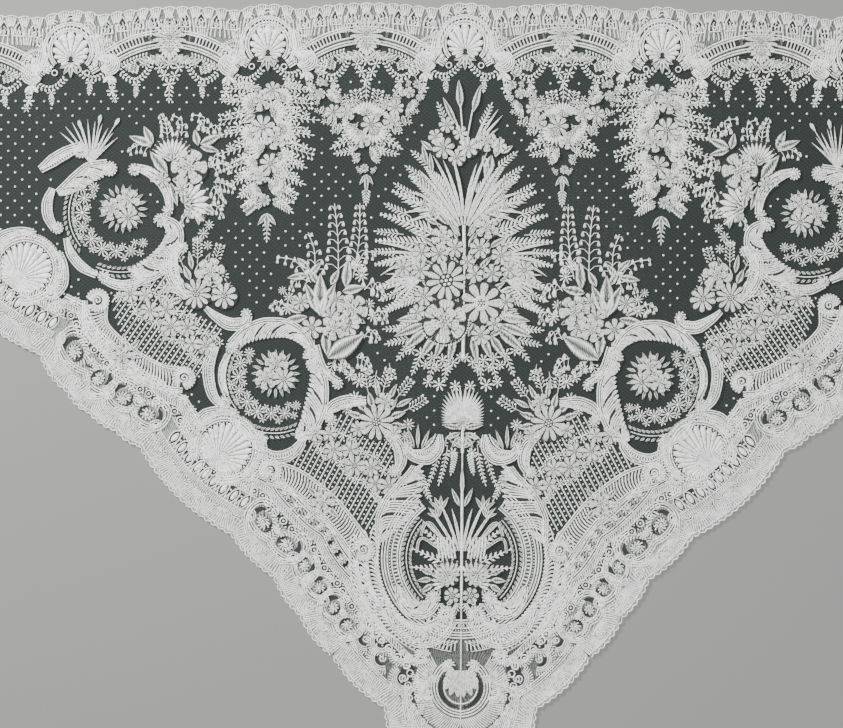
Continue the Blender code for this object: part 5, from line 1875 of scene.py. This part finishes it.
ROSE_STARS = ((411, 273, 8), (420, 259, 9), (430, 248, 7), (413, 240, 8), (424, 284, 6))


def rose_bouquet(lace):
    """A rose and two fan flowers, with leaves, bells and a tail of star flowers."""
    for line, count, reach in ROSE_STEMS:
        bell_spray(lace, line, count, 8.5, reach, 0.2)
    leaf_rows(lace, ROSE_LEAVES, 0.4)
    leaf_rows(lace, ((479, 355, 52, 46, 22), (492, 350, 30, 40, 18), (486, 350, -20, 22, 14),
                     (471, 345, 183, 42, 22)), 0.8)
    half_bloom(lace, 471, 376, 36, 90, 13, 1.1)
    rose(lace, 444, 366, 29, 0, 1.5)
    half_bloom(lace, 452, 306, 42, 147, 9, 0.9)
    bloom_rows(lace, ((486, 345, 12, 7), (456, 330, 12, 8)), 1.6)
    star_rows(lace, ROSE_STARS, 8, 0, 0.4)


def reed_cluster(lace):
    """A sheaf of reeds with three seed heads, over the curled end of a scroll."""
    degrees = np.linspace(52, 128, 10)
    lengths = 60 + 14 * np.sin(np.radians(degrees * 1.3)) ** 2
    blades(lace, (602, 370), degrees, lengths, 3.8, np.linspace(-14, 14, 10), 0.4,
           REED_SHAPE, 7, FLAT)
    for turn, length in ((73, 66), (101, 74), (122, 80)):
        path = arching((602, 372), turn, length - 12, 0, 4)[0]
        lace.ribs(path, 0.8, 0.6)
        blades(lace, path[-1:], turn, 17, 8, level=0.8, shape=DROP_SHAPE, section=FLAT)
    leaf_rows(lace, ((602, 384, 24, 34, 9), (602, 384, 44, 30, 8), (602, 384, 150, 32, 9),
                     (602, 388, 134, 28, 8)), 0.5)
    scroll(lace, [(684, 360), (662, 376), (642, 388), (622, 398)], (12, 20, 20, 14), (0, 13), 1, 0.5)


bell_bouquet(cloth_for("bell_bouquet"))
rose_bouquet(cloth_for("rose_bouquet"))
reed_cluster(cloth_for("reed_cluster"))

# %% [markdown]
# The net itself carries small round dots, sewn on in staggered rows. They keep clear of the
# sprays: the places that clothwork already takes are noted in small squares, and a dot whose
# square or a neighbour is taken is left out.

# %% Dots on the net
DOT_STEP = 23
DOT_RADIUS = 1.8
DOTS_FROM, DOTS_TO, DOTS_ASIDE = -300, 560, 1160  # the field that the rows of dots cover
SQUARE = 6  # the size of the squares that note where clothwork lies


def free_dots():
    """Staggered places of the right half, inside the borders, that no clothwork covers."""
    rows = np.arange(DOTS_FROM, DOTS_TO, DOT_STEP / 2)
    columns = np.arange(0, DOTS_ASIDE, DOT_STEP)
    places = np.array([(x + (i % 2) * DOT_STEP / 2, y) for i, y in enumerate(rows) for x in columns])
    lower = BAND(np.arange(0, BAND.length, 6), BAND_DEPTH + 8)
    floor_y = np.interp(places[:, 0], lower[:, 0], lower[:, 1])
    plain_end = places[:, 0] > 3 * REPEAT + 60
    ceiling = top_edge_y(places[:, 0]) - np.where(plain_end, 70, 125)
    places = places[(places[:, 1] > floor_y) & (places[:, 1] < ceiling)]
    sprays = [lace for key, lace in lacework.items() if key not in ("top_border", "lower_border")]
    taken = set()
    for x, y in np.concatenate([points[:, :2] for lace in sprays for points in lace.points]):
        taken.add((int(abs(x) // SQUARE), int(y // SQUARE)))
    free = []
    for x, y in places:
        i, j = int(x // SQUARE), int(y // SQUARE)
        if not any((i + a, j + b) in taken for a in (-1, 0, 1) for b in (-1, 0, 1)):
            free.append((x, y))
    return np.array(free)


net_dots = Clothwork()
places = free_dots()
net_dots.dots(places, DOT_RADIUS, 0, 7)
net_dots.dots(places[places[:, 0] > 1] * (-1, 1), DOT_RADIUS, 0, 7)
print("dots on the net:", 2 * len(places))

# %% [markdown]
# A fine bright line runs down the middle of the lower half, as of a fold or a join in the
# net. A crease in the sheet would be too fine to see from this far, so it is a thin raised
# strip of thread.

# %% The line down the middle
LINE_TOP, LINE_FOOT = -72, -628
fold = Clothwork()
fold.ribs([(0, y) for y in np.linspace(LINE_TOP, LINE_FOOT, 30)], 1.1, 0.9)
print("line down the middle:", LINE_TOP - LINE_FOOT, "mm")

# %% [markdown]
# Each set of strips now becomes one object. What is drawn for the right half is used twice,
# the second time mirrored, as the two halves of the real pattern mirror each other. Each
# object takes the place of its CAD piece and rides on the same body.


def finished(made, *nodes):
    """Hangs a piece on the root body, and hides the CAD nodes that it stands for."""
    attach(made, "root")
    if nodes:
        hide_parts(*nodes)


for key, lace in lacework.items():
    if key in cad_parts:
        finished(lace.piece(key + "_lace"), key)
    else:
        finished(lace.piece(key + "_right_lace"), key + "_right")
        finished(lace.piece(key + "_left_lace", mirrored=True), key + "_left")
finished(net_dots.piece("net_dots_lace"))
finished(fold.piece("centre_fold_lace"))

# %% [markdown]
# The shawl lies on a plain pale table. One light from above would show the pattern, but its
# cords would look flat, so a second, lower light from the upper left gives each cord a lit
# side and a shaded side.

# %% Floor and lights
FLOOR_REACH = 8.0
FLOOR_TONE = (0.185, 0.185, 0.181, 1)
ROOM_LIGHT = 0.25
LIGHTS = (
    # name, place, power, size
    ("overhead", (0, 0.2, 3.2), 185, 3.0),
    ("raking", (-2.6, 2.2, 1.5), 290, 0.9),
)


def studio_floor():
    """The pale table under the shawl."""
    made, _, shader = new_material("pale_floor")
    shader.inputs["Base Color"].default_value = FLOOR_TONE
    shader.inputs["Roughness"].default_value = 0.95
    mesh = bpy.data.meshes.new("floor")
    corners = [(x * FLOOR_REACH, y * FLOOR_REACH, 0) for x, y in ((-1, -1), (1, -1), (1, 1), (-1, 1))]
    mesh.from_pydata(corners, [], [(0, 1, 2, 3)])
    mesh.materials.append(made)
    floor = bpy.data.objects.new("floor", mesh)
    bpy.context.scene.collection.objects.link(floor)


def area_light(name, place, power, size):
    """A soft light that points to the middle of the shawl."""
    data = bpy.data.lights.new(name, "AREA")
    data.energy = power
    data.size = size
    lamp = bpy.data.objects.new(name, data)
    lamp.location = place
    lamp.rotation_euler = (-Vector(place)).to_track_quat("-Z", "Y").to_euler()
    bpy.context.scene.collection.objects.link(lamp)


studio_floor()
for light in LIGHTS:
    area_light(*light)
world = bpy.data.worlds.new("soft_room")
world.use_nodes = True
world.node_tree.nodes["Background"].inputs["Color"].default_value = (1, 1, 1, 1)
world.node_tree.nodes["Background"].inputs["Strength"].default_value = ROOM_LIGHT
bpy.context.scene.world = world

# %% [markdown]
# The camera looks straight down from high up, so that the shawl keeps its shape, as in the
# photograph. The view is as wide as the part of the shawl that the photograph shows.

# %% Camera
VIEW_CENTRE = (-0.067, 0.051)
VIEW_WIDTH = 1.360
VIEW_TURN = 0.4  # degrees
CAMERA_HEIGHT = 6.0
SENSOR_WIDTH = 36.0
camera_data = bpy.data.cameras.new("camera")
camera_data.sensor_width = SENSOR_WIDTH
camera_data.lens = SENSOR_WIDTH * CAMERA_HEIGHT / VIEW_WIDTH
camera = bpy.data.objects.new("camera", camera_data)
camera.location = (*VIEW_CENTRE, CAMERA_HEIGHT)
camera.rotation_euler = (0, 0, np.radians(VIEW_TURN))
bpy.context.scene.collection.objects.link(camera)
bpy.context.scene.camera = camera
print("camera lens:", round(camera_data.lens), "mm")
